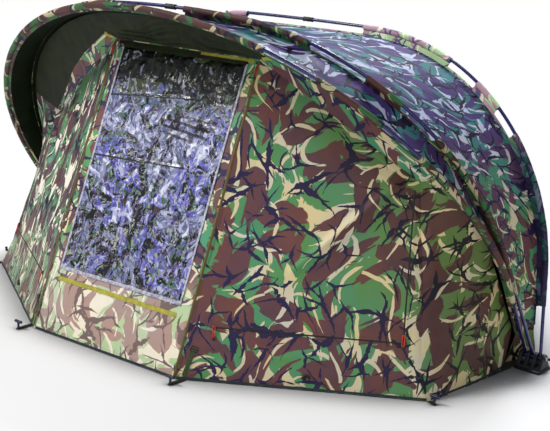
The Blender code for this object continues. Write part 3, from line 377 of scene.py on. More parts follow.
class Graph:
    """Short calls for shader nodes."""

    def __init__(self, tree):
        self.tree = tree

    def put(self, value, socket):
        """Links a socket, or sets it to a plain value."""
        if isinstance(value, bpy.types.NodeSocket):
            self.tree.links.new(value, socket)
        else:
            socket.default_value = value

    def add(self, kind, _inputs=None, **settings):
        """A node with its settings, and its inputs by name or place."""
        node = self.tree.nodes.new(kind)
        for key, value in settings.items():
            setattr(node, key, value)
        for key, value in (_inputs or {}).items():
            self.put(value, node.inputs[key])
        return node

    def math(self, op, a, b=0.0, clamp=False):
        """One sum or comparison of two numbers."""
        return self.add("ShaderNodeMath", {0: a, 1: b}, operation=op, use_clamp=clamp).outputs[0]

    def times(self, a, b):
        """A product."""
        return self.math("MULTIPLY", a, b)

    def plus(self, a, b):
        """A sum."""
        return self.math("ADD", a, b)

    def minus(self, a, b):
        """A difference."""
        return self.math("SUBTRACT", a, b)

    def swing(self, value, size):
        """A value round a half, made a swing of that size round zero."""
        return self.times(self.minus(value, 0.5), size)

    def vec(self, op, a, b=(0, 0, 0), scale=None):
        """One step of vector arithmetic."""
        node = self.add("ShaderNodeVectorMath", {0: a, 1: b}, operation=op)
        if scale is not None:
            self.put(scale, node.inputs["Scale"])
        return node.outputs[0]

    def noise(self, vector, scale, detail=2.0, rough=0.5, distortion=0.0):
        """Smooth noise at a place, round a half."""
        return self.add("ShaderNodeTexNoise", {"Vector": vector, "Scale": scale, "Detail": detail,
                                               "Roughness": rough, "Distortion": distortion}).outputs[0]

    def step(self, value, edge, soft):
        """Rises smoothly from 0 to 1 around an edge."""
        ends = {"Value": value, "From Min": edge - soft, "From Max": edge + soft}
        return self.add("ShaderNodeMapRange", ends, interpolation_type="SMOOTHSTEP").outputs[0]

    def bump(self, strength, distance, height, normal=None):
        """A bump's normal from a height."""
        inputs = {"Strength": strength, "Distance": distance, "Height": height}
        if normal is not None:
            inputs["Normal"] = normal
        return self.add("ShaderNodeBump", inputs).outputs[0]

    def cells(self, place, feature="F1", **inputs):
        """Flat cells of random shape, with their colour, centre and distance."""
        inputs = {"Vector": place, "Scale": 1.0, **inputs}
        return self.add("ShaderNodeTexVoronoi", inputs, voronoi_dimensions="2D", feature=feature).outputs

    def turned(self, vector, angle):
        """A vector turned round the upright axis."""
        inputs = {"Vector": vector, "Angle": angle}
        return self.add("ShaderNodeVectorRotate", inputs, rotation_type="Z_AXIS").outputs[0]

    def long(self, vector):
        """How long a vector is."""
        return self.add("ShaderNodeVectorMath", {0: vector}, operation="LENGTH").outputs["Value"]

    def split(self, colour):
        """A colour's three channels, read as numbers."""
        return self.add("ShaderNodeSeparateColor", {0: colour}).outputs

    def axes(self, vector):
        """A vector's three coordinates."""
        return self.add("ShaderNodeSeparateXYZ", {0: vector}).outputs

    def mix(self, factor, a, b, blend="MIX"):
        """One colour over another."""
        node = self.add("ShaderNodeMix", data_type="RGBA", blend_type=blend)
        for value, place in ((factor, 0), (a, 6), (b, 7)):
            self.put(value, node.inputs[place])
        return node.outputs[2]


def srgb(code):
    """A colour code as the linear colour that a socket holds."""
    parts = [int(code[i:i + 2], 16) / 255 for i in (1, 3, 5)]
    return (*(c / 12.92 if c <= 0.04045 else ((c + 0.055) / 1.055) ** 2.4 for c in parts), 1.0)


def fresh(name, **sockets):
    """An empty material with a Principled shader; returns it, its graph and the shader."""
    finish = bpy.data.materials.new(name)
    finish.use_nodes = True
    finish.node_tree.nodes.clear()
    graph = Graph(finish.node_tree)
    shader = graph.add("ShaderNodeBsdfPrincipled", {k.replace("_", " "): v for k, v in sockets.items()})
    out = graph.add("ShaderNodeOutputMaterial")
    graph.put(shader.outputs[0], out.inputs[0])
    return finish, graph, shader


CAMO_INPUTS = ("Sand", "Sand light", "Green", "Green light", "Brown", "Brown light", "Twig")
STROKES = (("Green", 3.7, (3.1, 1.7, 0), 0.68, 0.36), ("Green", 4.4, (23.1, 11.7, 0), 0.62, 0.24),
           ("Brown", 3.5, (8.4, 14.9, 0), 0.60, 0.22), ("Brown", 4.8, (41.3, 7.9, 0), 0.54, 0.14),
           ("Sand", 5.0, (31.0, 21.5, 0), 0.60, 0.05))
TWIGS = ((3.8, (5.5, 2.5, 0), 0.46, 0.058), (5.2, (19.5, 27.5, 0), 0.38, 0.042),
         (4.4, (61.7, 33.1, 0), 0.40, 0.040))


def camo_print():
    """Four colour brush stroke print: green and brown commas on sand, dark twigs over all."""
    tree = bpy.data.node_groups.new("camo print", "ShaderNodeTree")
    tree.interface.new_socket("Place", in_out="INPUT", socket_type="NodeSocketVector")
    for name in CAMO_INPUTS:
        tree.interface.new_socket(name, in_out="INPUT", socket_type="NodeSocketColor")
    tree.interface.new_socket("Colour", in_out="OUTPUT", socket_type="NodeSocketColor")
    g = Graph(tree)
    given = g.add("NodeGroupInput").outputs
    p = given["Place"]
    q = p
    for size, detail, amount in ((2.6, 0.0, 0.24), (9.0, 2.0, 0.03)):
        warp = g.add("ShaderNodeTexNoise", {"Vector": p, "Scale": size, "Detail": detail}).outputs["Color"]
        q = g.vec("ADD", q, g.vec("SCALE", g.vec("SUBTRACT", warp, (0.5, 0.5, 0.5)), scale=amount))
    ragged = g.noise(q, 24.0, 2.0, 0.6)

    def marks(scale, shift):
        """Each cell's own axes: along and across one stroke, with three random numbers and the cell's rim."""
        at = g.vec("ADD", g.vec("SCALE", q, scale=scale), shift)
        near, after = (g.cells(at, feature, Randomness=0.8) for feature in ("F1", "F2"))
        rim = g.minus(after["Distance"], near["Distance"])
        luck = g.split(near["Color"])
        axes = g.axes(g.turned(g.vec("SUBTRACT", at, near["Position"]), g.times(luck[0], 6.2832)))
        curl = g.swing(luck[1], 2.6)
        across = g.plus(axes[1], g.times(curl, g.times(axes[0], axes[0])))
        return axes[0], across, luck, rim

    def brush(scale, shift, long, wide, bristle=0.9):
        """A comma: round head, tapering tail and bristle lines that open towards the tail."""
        along, across, luck, rim = marks(scale, shift)
        s = g.math("DIVIDE", along, long)
        half = g.times(g.plus(1.0, g.times(s, 0.45)), wide)
        t = g.math("DIVIDE", across, half)
        body = g.minus(1.0, g.plus(g.times(s, s), g.times(t, t)))
        body = g.math("MINIMUM", body, g.times(rim, 7.0))
        stretched = {0: g.times(along, 1.8), 1: g.times(across, 11.0), 2: g.times(luck[2], 9.0)}
        hairs = g.add("ShaderNodeCombineXYZ", stretched).outputs[0]
        hair = g.minus(g.noise(hairs, 1.0, 1.0), 0.5)
        tail = g.plus(0.15, g.step(g.times(s, -1.0), 0.25, 0.7))
        body = g.plus(body, g.times(g.times(hair, tail), bristle * 6.5))
        return g.plus(body, g.swing(ragged, 0.5))

    def twig(scale, shift, long, wide):
        """A forked stem that swells and thins."""
        along, across, luck, rim = marks(scale, shift)
        parting = g.minus(g.times(luck[2], 0.3), 0.15)
        fork = g.times(g.math("MAXIMUM", g.minus(along, parting), 0.0), 0.8)
        off = g.math("ABSOLUTE", g.minus(g.math("ABSOLUTE", across), fork))
        s = g.math("DIVIDE", along, long)
        thick = g.times(g.minus(1.0, g.times(s, s)), wide)
        thick = g.times(thick, g.minus(g.times(ragged, 5.0), 1.5))
        thick = g.math("MINIMUM", thick, g.times(rim, 0.5))
        return g.minus(thick, g.plus(off, g.swing(ragged, 0.05)))

    worn = g.step(g.noise(p, 4.0, 3.0, 0.6), 0.5, 0.22)
    tint = {n: g.mix(worn, given[n], given[n + " light"]) for n in ("Sand", "Green", "Brown")}
    colour = tint["Sand"]
    for kind, scale, shift, long, wide in STROKES:
        mask = brush(scale, shift, long, wide)
        colour = g.mix(g.step(mask, 0.0, 0.05), colour, tint[kind])
    for scale, shift, long, wide in TWIGS:
        colour = g.mix(g.step(twig(scale, shift, long, wide), 0.0, 0.004), colour, given["Twig"])
    g.put(colour, g.add("NodeGroupOutput").inputs["Colour"])
    return tree


CAMO = camo_print()


def woven(g, shader, crease=0.25, weave=0.08):
    """Fine weave and shallow creases as bump, and a roughness that wanders a little."""
    at = g.add("ShaderNodeTexCoord").outputs["Object"]
    soft = g.noise(at, 26.0, 4.0, 0.62)
    ribs = g.add("ShaderNodeTexWave", {"Vector": at, "Scale": 260.0, "Distortion": 1.5}).outputs[0]
    g.put(g.bump(crease, 0.004, soft, g.bump(weave, 0.0004, ribs)), shader.inputs["Normal"])
    base = shader.inputs["Roughness"].default_value
    g.put(g.plus(g.swing(soft, 0.25), base), shader.inputs["Roughness"])


def camo_finish(name, palette, scale=1.25, painted_light=None, **sockets):
    """Printed cloth read from the piece's own cut; another palette can come in along an axis, to paint light or
    shade over the piece.
    """
    finish, g, shader = fresh(name, **sockets)
    at = g.vec("SCALE", g.add("ShaderNodeUVMap", uv_map="cloth").outputs[0], scale=scale)
    colours = palette
    if painted_light:
        other, low, high, axis = painted_light
        axes = g.axes(g.add("ShaderNodeTexCoord").outputs["Object"])
        share = g.step(axes[axis], (low + high) / 2, (high - low) / 2)
        colours = [g.mix(share, srgb(a), srgb(b)) for a, b in zip(palette, other)]
    printed = g.add("ShaderNodeGroup", node_tree=CAMO)
    g.put(at, printed.inputs["Place"])
    for socket, colour in zip(CAMO_INPUTS, colours):
        g.put(srgb(colour) if isinstance(colour, str) else colour, printed.inputs[socket])
    g.put(printed.outputs[0], shader.inputs["Base Color"])
    woven(g, shader)
    return finish


def plain(name, dark, light, size=30.0, bump=0.2, depth=0.001, **sockets):
    """One colour that shifts a little over the piece, with a fine bump."""
    finish, g, shader = fresh(name, **sockets)
    at = g.add("ShaderNodeTexCoord").outputs["Object"]
    cloud = g.noise(at, size, 4.0, 0.6)
    g.put(g.mix(g.step(cloud, 0.5, 0.25), srgb(dark), srgb(light)), shader.inputs["Base Color"])
    if bump:
        grain = g.noise(at, size * 14, 2.0, 0.6)
        g.put(g.bump(bump, depth, grain), shader.inputs["Normal"])
    base = shader.inputs["Roughness"].default_value
    g.put(g.plus(g.swing(cloud, 0.2), base), shader.inputs["Roughness"])
    return finish


DEPTH_AXIS, UP_AXIS = 1, 2
# palettes, in the order of the print's inputs: sand, green and brown with their lighter tones, and twig
WALL_COLOURS = ("#E2CE94", "#D6D0BE", "#5C9450", "#4A9470", "#74463F", "#5C3F4A", "#241D46")
# painted sky reflection on the canopy's upper cloth: the print in teal, purple and pale lavender tones
SKY_REFLECTION_COLOURS = ("#A4AECA", "#C0C4D6", "#2C6660", "#3E7886", "#3C2C62", "#483676", "#100E2A")
# painted highlight on the door's lower cloth: a pale, washed copy of the print
DOOR_HIGHLIGHT_COLOURS = ("#EEE4CC", "#E8E0D2", "#B4CC98", "#BECAAC", "#B09082", "#A8918C", "#75605E")
# painted glare on the left panel's lower part: a paler, duller copy of the print
LEFT_GLARE_COLOURS = ("#E6DABC", "#DAD0BC", "#769A66", "#7C9478", "#70524A", "#665352", "#2C2430")
LEFT_COLOURS = ("#F0E8CC", "#E6E2D6", "#5C8A58", "#4E8468", "#5A3C3A", "#54404C", "#1C1830")
# painted shade on the right wing: a darker, browner copy of the print
WING_SHADE_COLOURS = ("#DCC890", "#CFC6A4", "#5F7C3A", "#6A8046", "#5C3C30", "#4E342E", "#1A1414")
# painted shade on the sleeves: a darker copy of the print
SLEEVE_SHADE_COLOURS = ("#A89C74", "#B9AE8C", "#254F2C", "#386C38", "#402624", "#54322E", "#161230")
# painted shade on the rear sleeve low down, tinted like the painted sky reflection, and a pale painted highlight
# on its crown
REAR_SLEEVE_SHADE_COLOURS = ("#3F4A66", "#6E7A8C", "#16403C", "#1E5A50", "#241A3C", "#30244A", "#121030")
CROWN_HIGHLIGHT_COLOURS = ("#E2E0C0", "#EAE6D2", "#A6C890", "#B8D4A4", "#A8848E", "#BE9AA4", "#5A5478")
wall = camo_finish("wall cloth", WALL_COLOURS, Roughness=0.55, Specular_IOR_Level=0.35)
# the canopy's print turns to the painted sky reflection higher up
roof_cloth = camo_finish("canopy cloth", WALL_COLOURS, scale=1.3, painted_light=(SKY_REFLECTION_COLOURS, 0.60, 1.20, UP_AXIS),
                         Roughness=0.55, Specular_IOR_Level=0.3)
# the rear sleeve turns from painted shade to a painted highlight towards its crown
rear_sleeve_cloth = camo_finish("rear sleeve cloth", REAR_SLEEVE_SHADE_COLOURS,
                                painted_light=(CROWN_HIGHLIGHT_COLOURS, 0.95, 1.20, UP_AXIS),
                                Roughness=0.6, Specular_IOR_Level=0.3)
# sleeves printed in the darker copy, as painted shade
sleeve_cloth = camo_finish("sleeve cloth", SLEEVE_SHADE_COLOURS, Roughness=0.6, Specular_IOR_Level=0.3)
# the left panel's print is paler low down, as painted glare, and fuller in colour higher up
left_wall = camo_finish("left wall cloth", LEFT_GLARE_COLOURS, painted_light=(LEFT_COLOURS, 0.12, 0.50, UP_AXIS),
                        Roughness=0.5, Specular_IOR_Level=0.4)
# the right wall's print darkens towards the back, as painted shade on the wing
right_wall = camo_finish("right wall cloth", WALL_COLOURS, painted_light=(WING_SHADE_COLOURS, -0.98, -0.42, DEPTH_AXIS),
                         Roughness=0.58, Specular_IOR_Level=0.3)
lining = plain("lining", "#10180D", "#1A2514", size=9.0, Roughness=0.8, Specular_IOR_Level=0.06)
hem_tape = plain("hem tape", "#10183A", "#12301F", size=11.0, Roughness=0.6)
pole = plain("rib tube", "#0A0A3A", "#161664", size=24.0, bump=0.03, Roughness=0.28, Specular_IOR_Level=0.6,
             Coat_Weight=0.4, Coat_Roughness=0.15)
moulding = plain("moulding", "#0E0E11", "#1B1B20", size=60.0, bump=0.25, depth=0.0004, Roughness=0.5)
steel = plain("bolt steel", "#8A8B90", "#A9AAB0", size=90.0, bump=0.1, depth=0.0002, Roughness=0.35,
              Metallic=1.0)
zip_cloth = plain("zip tape", "#5A4A1E", "#75622B", size=50.0, Roughness=0.7)
dark_zip = plain("dark zip tape", "#15150F", "#24241A", size=50.0, Roughness=0.65)
tape = plain("olive tape", "#8F8A2C", "#B8B040", size=36.0, Roughness=0.7)
pull_red = plain("red pull", "#B4261A", "#D8452C", size=60.0, bump=0.1, Roughness=0.45)
peg_metal = plain("peg coating", "#12162F", "#1E2748", size=60.0, bump=0.1, depth=0.0002, Roughness=0.4)
webbing = plain("webbing", "#131410", "#23251C", size=70.0, bump=0.5, Roughness=0.75)
ground_cloth = plain("groundsheet", "#23261F", "#30342A", size=6.0, bump=0.4, Roughness=0.6)

MESHES_PER_METRE = 700.0
THREAD_SHARE = 0.3


def net_finish():
    """Fine net: thread between half clear holes."""
    finish, g, shader = fresh("fine net", Base_Color=srgb("#20261A"), Roughness=0.8)
    at = g.add("ShaderNodeUVMap", uv_map="cloth").outputs[0]
    x, y = g.axes(g.vec("SCALE", at, scale=MESHES_PER_METRE))[:2]
    across, up = (g.math("GREATER_THAN", g.math("FRACT", way), THREAD_SHARE) for way in (x, y))
    holes = g.times(across, up)
    g.put(g.minus(1.0, g.times(holes, 0.45)), shader.inputs["Alpha"])
    return finish


net = net_finish()
# the camouflage seen through the clear sheet, darkened as painted shade
SEEN_THROUGH_SHADE_COLOURS = ("#A2A68A", "#9A9EA0", "#4A6E46", "#52705A", "#4A3A40", "#544A56", "#1A1A22")


def window_finish():
    """Crinkled clear sheet: painted sky reflections and glints in streaks that turn from shard to shard, over the
    camouflage behind it, darkened as painted shade.
    """
    finish, g, shader = fresh("clear sheet", Roughness=0.22, Specular_IOR_Level=0.6, Alpha=0.94)
    at = g.add("ShaderNodeUVMap", uv_map="cloth").outputs[0]
    x, y = g.axes(at)[:2]
    wavy = g.add("ShaderNodeTexNoise", {"Vector": at, "Scale": 9.0, "Detail": 2.0}).outputs["Color"]
    bent = g.vec("ADD", at, g.vec("SCALE", g.vec("SUBTRACT", wavy, (0.5, 0.5, 0.5)), scale=0.07))

    def facets(scale, shift, long, fine):
        """Long flat facets with their own heading in every shard, and the shard's random numbers."""
        here = g.vec("ADD", g.vec("SCALE", bent, scale=scale), shift)
        shard = g.cells(here)
        luck = g.split(shard["Color"])
        turned = g.turned(g.vec("SUBTRACT", here, shard["Position"]), g.swing(luck[0], 4.4))
        drawn_out = g.vec("MULTIPLY", turned, (long, fine, 1.0))
        apart = g.vec("SCALE", shard["Color"], scale=30.0)
        return g.split(g.cells(g.vec("ADD", drawn_out, apart))["Color"])[0], luck

    foil, luck = facets(8.0, (3.3, 1.2, 0), 2.2, 7.0)
    small, _ = facets(15.0, (7.1, 4.6, 0), 2.0, 6.0)
    folds, wide_luck = facets(4.2, (1.9, 8.4, 0), 2.0, 5.0)
    soft = g.noise(g.vec("MULTIPLY", bent, (30.0, 22.0, 1.0)), 1.0, 3.0, 0.6, 1.0)
    level = g.plus(g.times(small, 0.26), g.times(folds, 0.18))
    level = g.plus(g.times(foil, 0.34), level)
    level = g.plus(level, g.times(soft, 0.22))
    level = g.plus(level, g.swing(luck[1], 0.07))
    level = g.plus(level, g.swing(wide_luck[2], 0.03))
    behind = g.add("ShaderNodeGroup", node_tree=CAMO)
    seen = g.vec("ADD", g.vec("SCALE", at, scale=1.5), g.vec("SCALE", bent, scale=1.2))
    g.put(seen, behind.inputs["Place"])
    for socket, colour in zip(CAMO_INPUTS, SEEN_THROUGH_SHADE_COLOURS):
        g.put(srgb(colour), behind.inputs[socket])
    # painted sky reflection: facets step from dark gaps through the camouflage behind to violet, lavender and
    # near-white painted highlights; a deeper violet patch at the right, and less reflection low down except at
    # the right
    spot = g.long(g.vec("MULTIPLY", g.vec("SUBTRACT", at, (0.25, 0.86, 0.0)), (7.0, 4.6, 1.0)))
    spot = g.minus(1.0, g.step(g.plus(spot, g.swing(folds, 0.7)), 0.75, 0.2))
    blue_reflection = g.math("MAXIMUM", g.step(luck[2], 0.60, 0.10), spot)
    low = g.minus(1.0, g.step(g.plus(y, g.swing(folds, 0.35)), 0.70, 0.14))
    low = g.times(low, g.minus(1.0, g.times(g.step(x, 0.18, 0.06), 0.7)))
    level = g.minus(level, g.times(low, 0.085))
    colour = g.mix(g.step(level, 0.310, 0.012), srgb("#1D1E22"), behind.outputs[0])
    colour = g.mix(g.step(level, 0.440, 0.010), colour, g.mix(blue_reflection, srgb("#5F638A"), srgb("#5856A8")))
    colour = g.mix(g.step(level, 0.535, 0.012), colour, g.mix(blue_reflection, srgb("#868AB0"), srgb("#7A7AC0")))
    colour = g.mix(g.step(level, 0.640, 0.012), colour, srgb("#B2B6D2"))
    colour = g.mix(g.step(level, 0.740, 0.010), colour, srgb("#E0E1EE"))
    crease = g.noise(g.vec("MULTIPLY", at, (17.0, 11.0, 1.0)), 1.0, 4.0, 0.62, 1.6)
    # painted glints along the crease lines, where the soft noise is high
    glint = g.step(g.math("ABSOLUTE", g.minus(crease, 0.5)), 0.008, 0.006)
    colour = g.mix(g.times(g.minus(1.0, glint), g.step(soft, 0.50, 0.05)), colour, srgb("#D4D6E4"))

    # painted shade of the hood over the sheet's top: dark, with olive patches and a few painted glints
    top = g.step(g.plus(y, g.swing(foil, 0.12)), 1.20, 0.03)
    shade = g.mix(g.step(foil, 0.55, 0.03), srgb("#0B0C08"), srgb("#262B1C"))
    shade = g.mix(g.step(luck[1], 0.80, 0.04), shade, srgb("#46502E"))
    shade = g.mix(g.step(level, 0.680, 0.012), shade, srgb("#8C8FA2"))
    colour = g.mix(top, colour, shade)

    # painted shade in two pressed creases and in a short stack of folds
    waver = g.swing(soft, 0.012)
    for height, slope, last in ((1.193, 0.0866, 0.16), (0.8828, 0.0447, 0.20)):
        off = g.minus(g.minus(g.plus(y, waver), height), g.times(x, slope))
        line = g.minus(1.0, g.step(g.math("ABSOLUTE", off), 0.0042, 0.0016))
        line = g.times(line, g.minus(1.0, g.step(x, last, 0.02)))
        colour = g.mix(g.times(line, 0.9), colour, srgb("#1B1F22"))
    stack = g.long(g.vec("MULTIPLY", g.vec("SUBTRACT", at, (0.14, 1.075, 0.0)), (6.5, 15.0, 1.0)))
    stack = g.step(stack, 0.95, 0.12)
    bars = g.math("SINE", g.times(g.plus(g.plus(y, waver), g.times(x, 0.10)), 190.0))
    bars = g.times(g.step(bars, 0.35, 0.15), g.minus(1.0, stack))
    colour = g.mix(g.times(bars, 0.85), colour, srgb("#211A20"))
    g.put(colour, shader.inputs["Base Color"])
    g.put(g.bump(0.6, 0.003, crease), shader.inputs["Normal"])
    return finish


window = window_finish()
# the door cloth is paler low down, as a painted highlight, and printed as the walls higher up
door_cloth_finish = camo_finish("door cloth", DOOR_HIGHLIGHT_COLOURS, painted_light=(WALL_COLOURS, 0.24, 0.50, UP_AXIS),
                                Roughness=0.5, Specular_IOR_Level=0.4)
hood_lining = plain("header lining", "#131A0C", "#262E14", size=14.0, bump=0.25, depth=0.002, Roughness=0.65,
                    Specular_IOR_Level=0.2)
coil = plain("olive coil", "#3A3012", "#564A20", size=70.0, bump=0.05, depth=0.0002, Roughness=0.45)
dark_coil = plain("dark coil", "#0C0C0C", "#1B1A16", size=70.0, bump=0.05, depth=0.0002, Roughness=0.4)
slider_metal = plain("slider metal", "#2A2A2C", "#4A4A4E", size=120.0, bump=0.05, depth=0.0002,
                     Roughness=0.35, Metallic=0.8)
thread = plain("olive thread", "#4B4420", "#6B6130", size=90.0, bump=0.1, depth=0.0002, Roughness=0.7)
# pale hem strips of the clear cover, blotched with painted glints
cover_hem_glints = plain("cover hem", "#77758E", "#D2D2DE", size=60.0, bump=0.5, depth=0.002, Roughness=0.3)
ladder = plain("ladder webbing", "#24351A", "#3A5228", size=80.0, bump=0.5, depth=0.0006, Roughness=0.7)


def show(piece, body, *nodes, slot=None, fold=True):
    """Hangs a finished piece on its body and lets it stand for its CAD nodes."""
    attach(piece, body)
    if nodes:
        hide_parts(*nodes)
    if fold:
        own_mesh(piece)
    return piece


# ribs

# each rib with the shares of its length that run in a sleeve tube
SLEEVES = {
    "front": (FRONT, ((-0.86, 0.246), (0.336, 0.453), (0.526, 0.86))),
    "mid": (MID, ((-0.85, -0.524), (-0.449, -0.381), (-0.276, -0.134),
                  (0.029, 0.276), (0.381, 0.449), (0.524, 0.85))),
    "rear": (REAR, ((-0.90, -0.562), (-0.501, -0.434), (-0.360, -0.164),
                    (0.143, 0.360), (0.434, 0.501), (0.562, 0.90))),
}
SLEEVE_CUT, SLEEVE_CLOTH = 0.14, 0.0012
STANDOFFS = {"front": FRONT_STANDOFF, "mid": MID_STANDOFF, "rear": REAR_STANDOFF}


def tube(hoop, shares, radius, sides):
    """Rings round a rib's centre line, with one radius or one for each ring."""
    turns = np.arange(sides) * 2 * math.pi / sides
    shares, turns = np.meshgrid(shares, turns, indexing="ij")
    radius = np.asarray(radius, float).reshape(-1, 1)
    return hoop.point(shares, radius * np.cos(turns), radius * np.sin(turns))


def eye(hoop, side):
    """The turned collar at a rib's foot, bored for the bolt."""
    profile = ((-0.0096, 0.0056), (-0.0100, 0.0062), (-0.0100, 0.0140), (-0.0090, 0.0150), (-0.0035, 0.0150),
               (0.0035, 0.0150), (0.0090, 0.0150), (0.0100, 0.0140), (0.0100, 0.0062), (0.0096, 0.0056))
    sides, rows = 28, len(profile)
    t = np.arange(sides) * 2 * math.pi / sides
    across = np.ones(sides)
    rings = np.array([np.stack((across * (side * hoop.foot + x), r * np.cos(t), PIVOT[2] + r * np.sin(t)), -1)
                      for x, r in profile])
    faces = [tuple(f) for f in quads(rows, sides, closed=True)]
    last = (rows - 1) * sides
    faces += [(last + k, last + (k + 1) % sides, (k + 1) % sides, k) for k in range(sides)]
    return rings.reshape(-1, 3), faces


CROWN_GAP = 0.0016
POLE_END_LONG, POLE_END_EASE = 0.0015, 0.0012
FERRULE_HALF = 0.030
FERRULE_SHARES = np.array((-1, -0.93, -0.90, -0.86, -0.80, -0.12, -0.08,
                           0.08, 0.12, 0.80, 0.86, 0.90, 0.93, 1))
FERRULE_RADII = np.array((11.2, 12.4, 12.5, 12.5, 11.6, 11.6, 12.4,
                          12.4, 11.6, 11.6, 12.5, 12.5, 12.4, 11.2))

for name, (hoop, stretches) in SLEEVES.items():
    for word, side in (("left", -1), ("right", 1)):
        foot = 1 - 0.0125 / hoop.half
        shares = side * np.linspace(CROWN_GAP / hoop.half, foot, 180)
        shares[1] = side * (CROWN_GAP + POLE_END_LONG) / hoop.half
        ends = np.full(180, RIB_RADIUS)
        ends[0] = RIB_RADIUS - POLE_END_EASE
        solid = join([skin(tube(hoop, shares, ends, 18)), eye(hoop, side)])
        piece = build(f"{name}_rib_{word}", *solid, [pole])
        show(outward(piece), name + "_rib", f"{name}_pole_{word}", slot="pole", fold=False)
    marks = FERRULE_SHARES * FERRULE_HALF / hoop.half
    outer = tube(hoop, marks, FERRULE_RADII / 1000, 28)
    inner = tube(hoop, marks[::-1], RIB_RADIUS + 0.0004, 28)
    rings = np.concatenate((outer, inner, outer[:1]))
    piece = build(name + "_crown_ferrule", *skin(rings, capped=False), [moulding], sharp=30)
    show(outward(piece), name + "_rib", name + "_crown_joint", slot="moulding", fold=False)

    # sleeve tubes and the web strips between them
    grids = []
    for low, high in stretches:
        count = int((high - low) * hoop.half / 0.012)
        shares = np.linspace(low, high, count)
        turns = np.linspace(0, 2 * math.pi, 25)
        s, t = np.meshgrid(shares, turns, indexing="ij")
        run = s * hoop.half
        radius = (SLEEVE_RADIUS - 0.0006 + 0.0010 * noise(run / 0.05, t * 1.2, 3)
                  + 0.0012 * noise(run / 0.018, t * 0.5, 8))
        place = hoop.point(s, SLEEVE_INSET + radius * np.cos(t), radius * np.sin(t))
        grids.append((place, np.stack((run, t * SLEEVE_RADIUS + 0.3), -1)))
    end = 1 - CANOPY_START / hoop.half
    shares = np.unique(np.concatenate((np.linspace(-end, end, 420), [e for s in stretches for e in s])))
    sleeved = np.zeros(len(shares))
    for low, high in stretches:
        sleeved = np.maximum(sleeved, (shares >= low - 1e-6) & (shares <= high + 1e-6))
    stand = STANDOFFS[name]
    top = np.where(sleeved > 0, SLEEVE_INSET + SLEEVE_RADIUS - 0.0008, stand - 0.009)
    s, v = np.meshgrid(shares, np.linspace(0, 1, 4), indexing="ij")
    inset = top[:, None] + (stand + 0.0015 - top[:, None]) * v
    sway = 0.0022 * noise(s * hoop.half / 0.07, v, 17) * (1 - v) * (1 - sleeved[:, None])
    web = (hoop.point(s, inset, sway), np.stack((s * hoop.half, inset + 0.4), -1))
    verts, faces, uvs, base = [], [], [], 0
    for grid, thick in [(g, SLEEVE_CLOTH) for g in grids] + [(web, 2 * SLEEVE_CLOTH)]:
        points, patches, _, uv = layered([grid], None, thick)
        verts.append(points)
        faces.append(patches + base)
        uvs.append(uv)
        base += len(points)
    finish = rear_sleeve_cloth if name == "rear" else sleeve_cloth
    piece = build(name + "_sleeve_cloth", np.concatenate(verts), np.concatenate(faces), [finish],
                  uv=np.concatenate(uvs))
    show(outward(piece), name + "_rib", name + "_sleeve", slot="sleeve_cloth", fold=False)


# canopy

def drawn_in(edge_a, edge_b, knot, sag, rows):
    """Straight lines between two sewn edges, drawn in towards the middle of the span."""
    v = np.linspace(0, 1, rows)[:, None]
    place = edge_a[None] * (1 - v[..., None]) + edge_b[None] * v[..., None]
    along = unit(np.gradient(place, axis=1))
    normal = np.cross(along, unit(edge_b - edge_a)[None])
    flip = (normal * (place - PIVOT)).sum(-1) > 0
    normal = unit(np.where(flip[..., None], -normal, normal))
    depth = sag * 4 * v * (1 - v) * (1 - knot[None] ** 4)
    return place + normal * depth[..., None], -normal


def canopy_uv(place, run, shift):
    """Where a canopy's points lie on the printed cloth."""
    across = lengths(place, 0)
    across = across - across[-1:] / 2
    return np.stack((np.broadcast_to(run, across.shape) + shift[0], across + shift[1]), -1)


def relief(place, out, uv, run, seed, height=0.004, seam=0.0018):
    """Soft swells over the whole panel and short tension folds at its two sewn edges."""
    down = lengths(place, 0)
    wide = down[-1:]
    part = down / np.maximum(wide, 1e-6)
    free = np.clip(4 * part * (1 - part), 0, 1)
    u, v = uv[..., 0], uv[..., 1]
    swells = height * 1.6 * noise(u / 0.34, v / 0.22, seed)
    swells = swells + height * 0.6 * noise(u / 0.13, v / 0.09, seed + 1)
    lift = free * swells + free * crumple(u, v, 0.16, height * 0.22, seed + 2)
    near = np.minimum(down, wide - down)
    size = np.clip(wide / 0.3, 0, 1)
    folds = ripples(np.broadcast_to(run, u.shape), near, 0.045, 0.036, seam, seed + 3)
    return place + out * (lift + size * folds * step(near, 0, 0.006))[..., None]


HOOD_SAG, ROOF_SAG, WALL_SAG = 0.010, 0.030, 0.020
count = 421
share = np.linspace(-1, 1, count)
run = share * MID.half
knot = MID.knot(share * (1 - CANOPY_START / MID.half))

back_edge = MID.sewn(knot, MID_STANDOFF, SEWN_AHEAD)
front_edge = FRONT.sewn(knot, FRONT_STANDOFF, -SEWN_AHEAD)
place, out = drawn_in(back_edge, front_edge, knot, HOOD_SAG, 26)
uv = canopy_uv(place, run, (1.7, 4.1))
hood = cloth("hood_canopy_cloth", (relief(place, out, uv, run, 11, 0.0035), uv), [roof_cloth, lining])
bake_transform(hood, "mid_rib", "front_rib", tuple(MID.point(0.0)), tuple(FRONT.point(0.0)))
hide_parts("hood_canopy")

back_edge = REAR.sewn(knot, REAR_STANDOFF, SEWN_AHEAD)
front_edge = MID.sewn(knot, MID_STANDOFF, -SEWN_AHEAD)
place, out = drawn_in(back_edge, front_edge, knot, ROOF_SAG, 64)
uv = canopy_uv(place, run, (5.3, 9.2))
place = relief(place, out, uv, run, 31, 0.006)
REACHES = (1.0, 0.90, 0.80, 0.68, 0.55, 0.0)


def slab_spans(k):
    """Columns of a canopy slab, left and right of the crown; neighbours share their last column."""
    a, b = (round((1 + REACHES[k + n]) / 2 * (count - 1)) for n in (0, 1))
    if k == 4:
        return [slice(count - 1 - a, a + 1)]
    return [slice(count - 1 - a, count - b), slice(b, a + 1)]


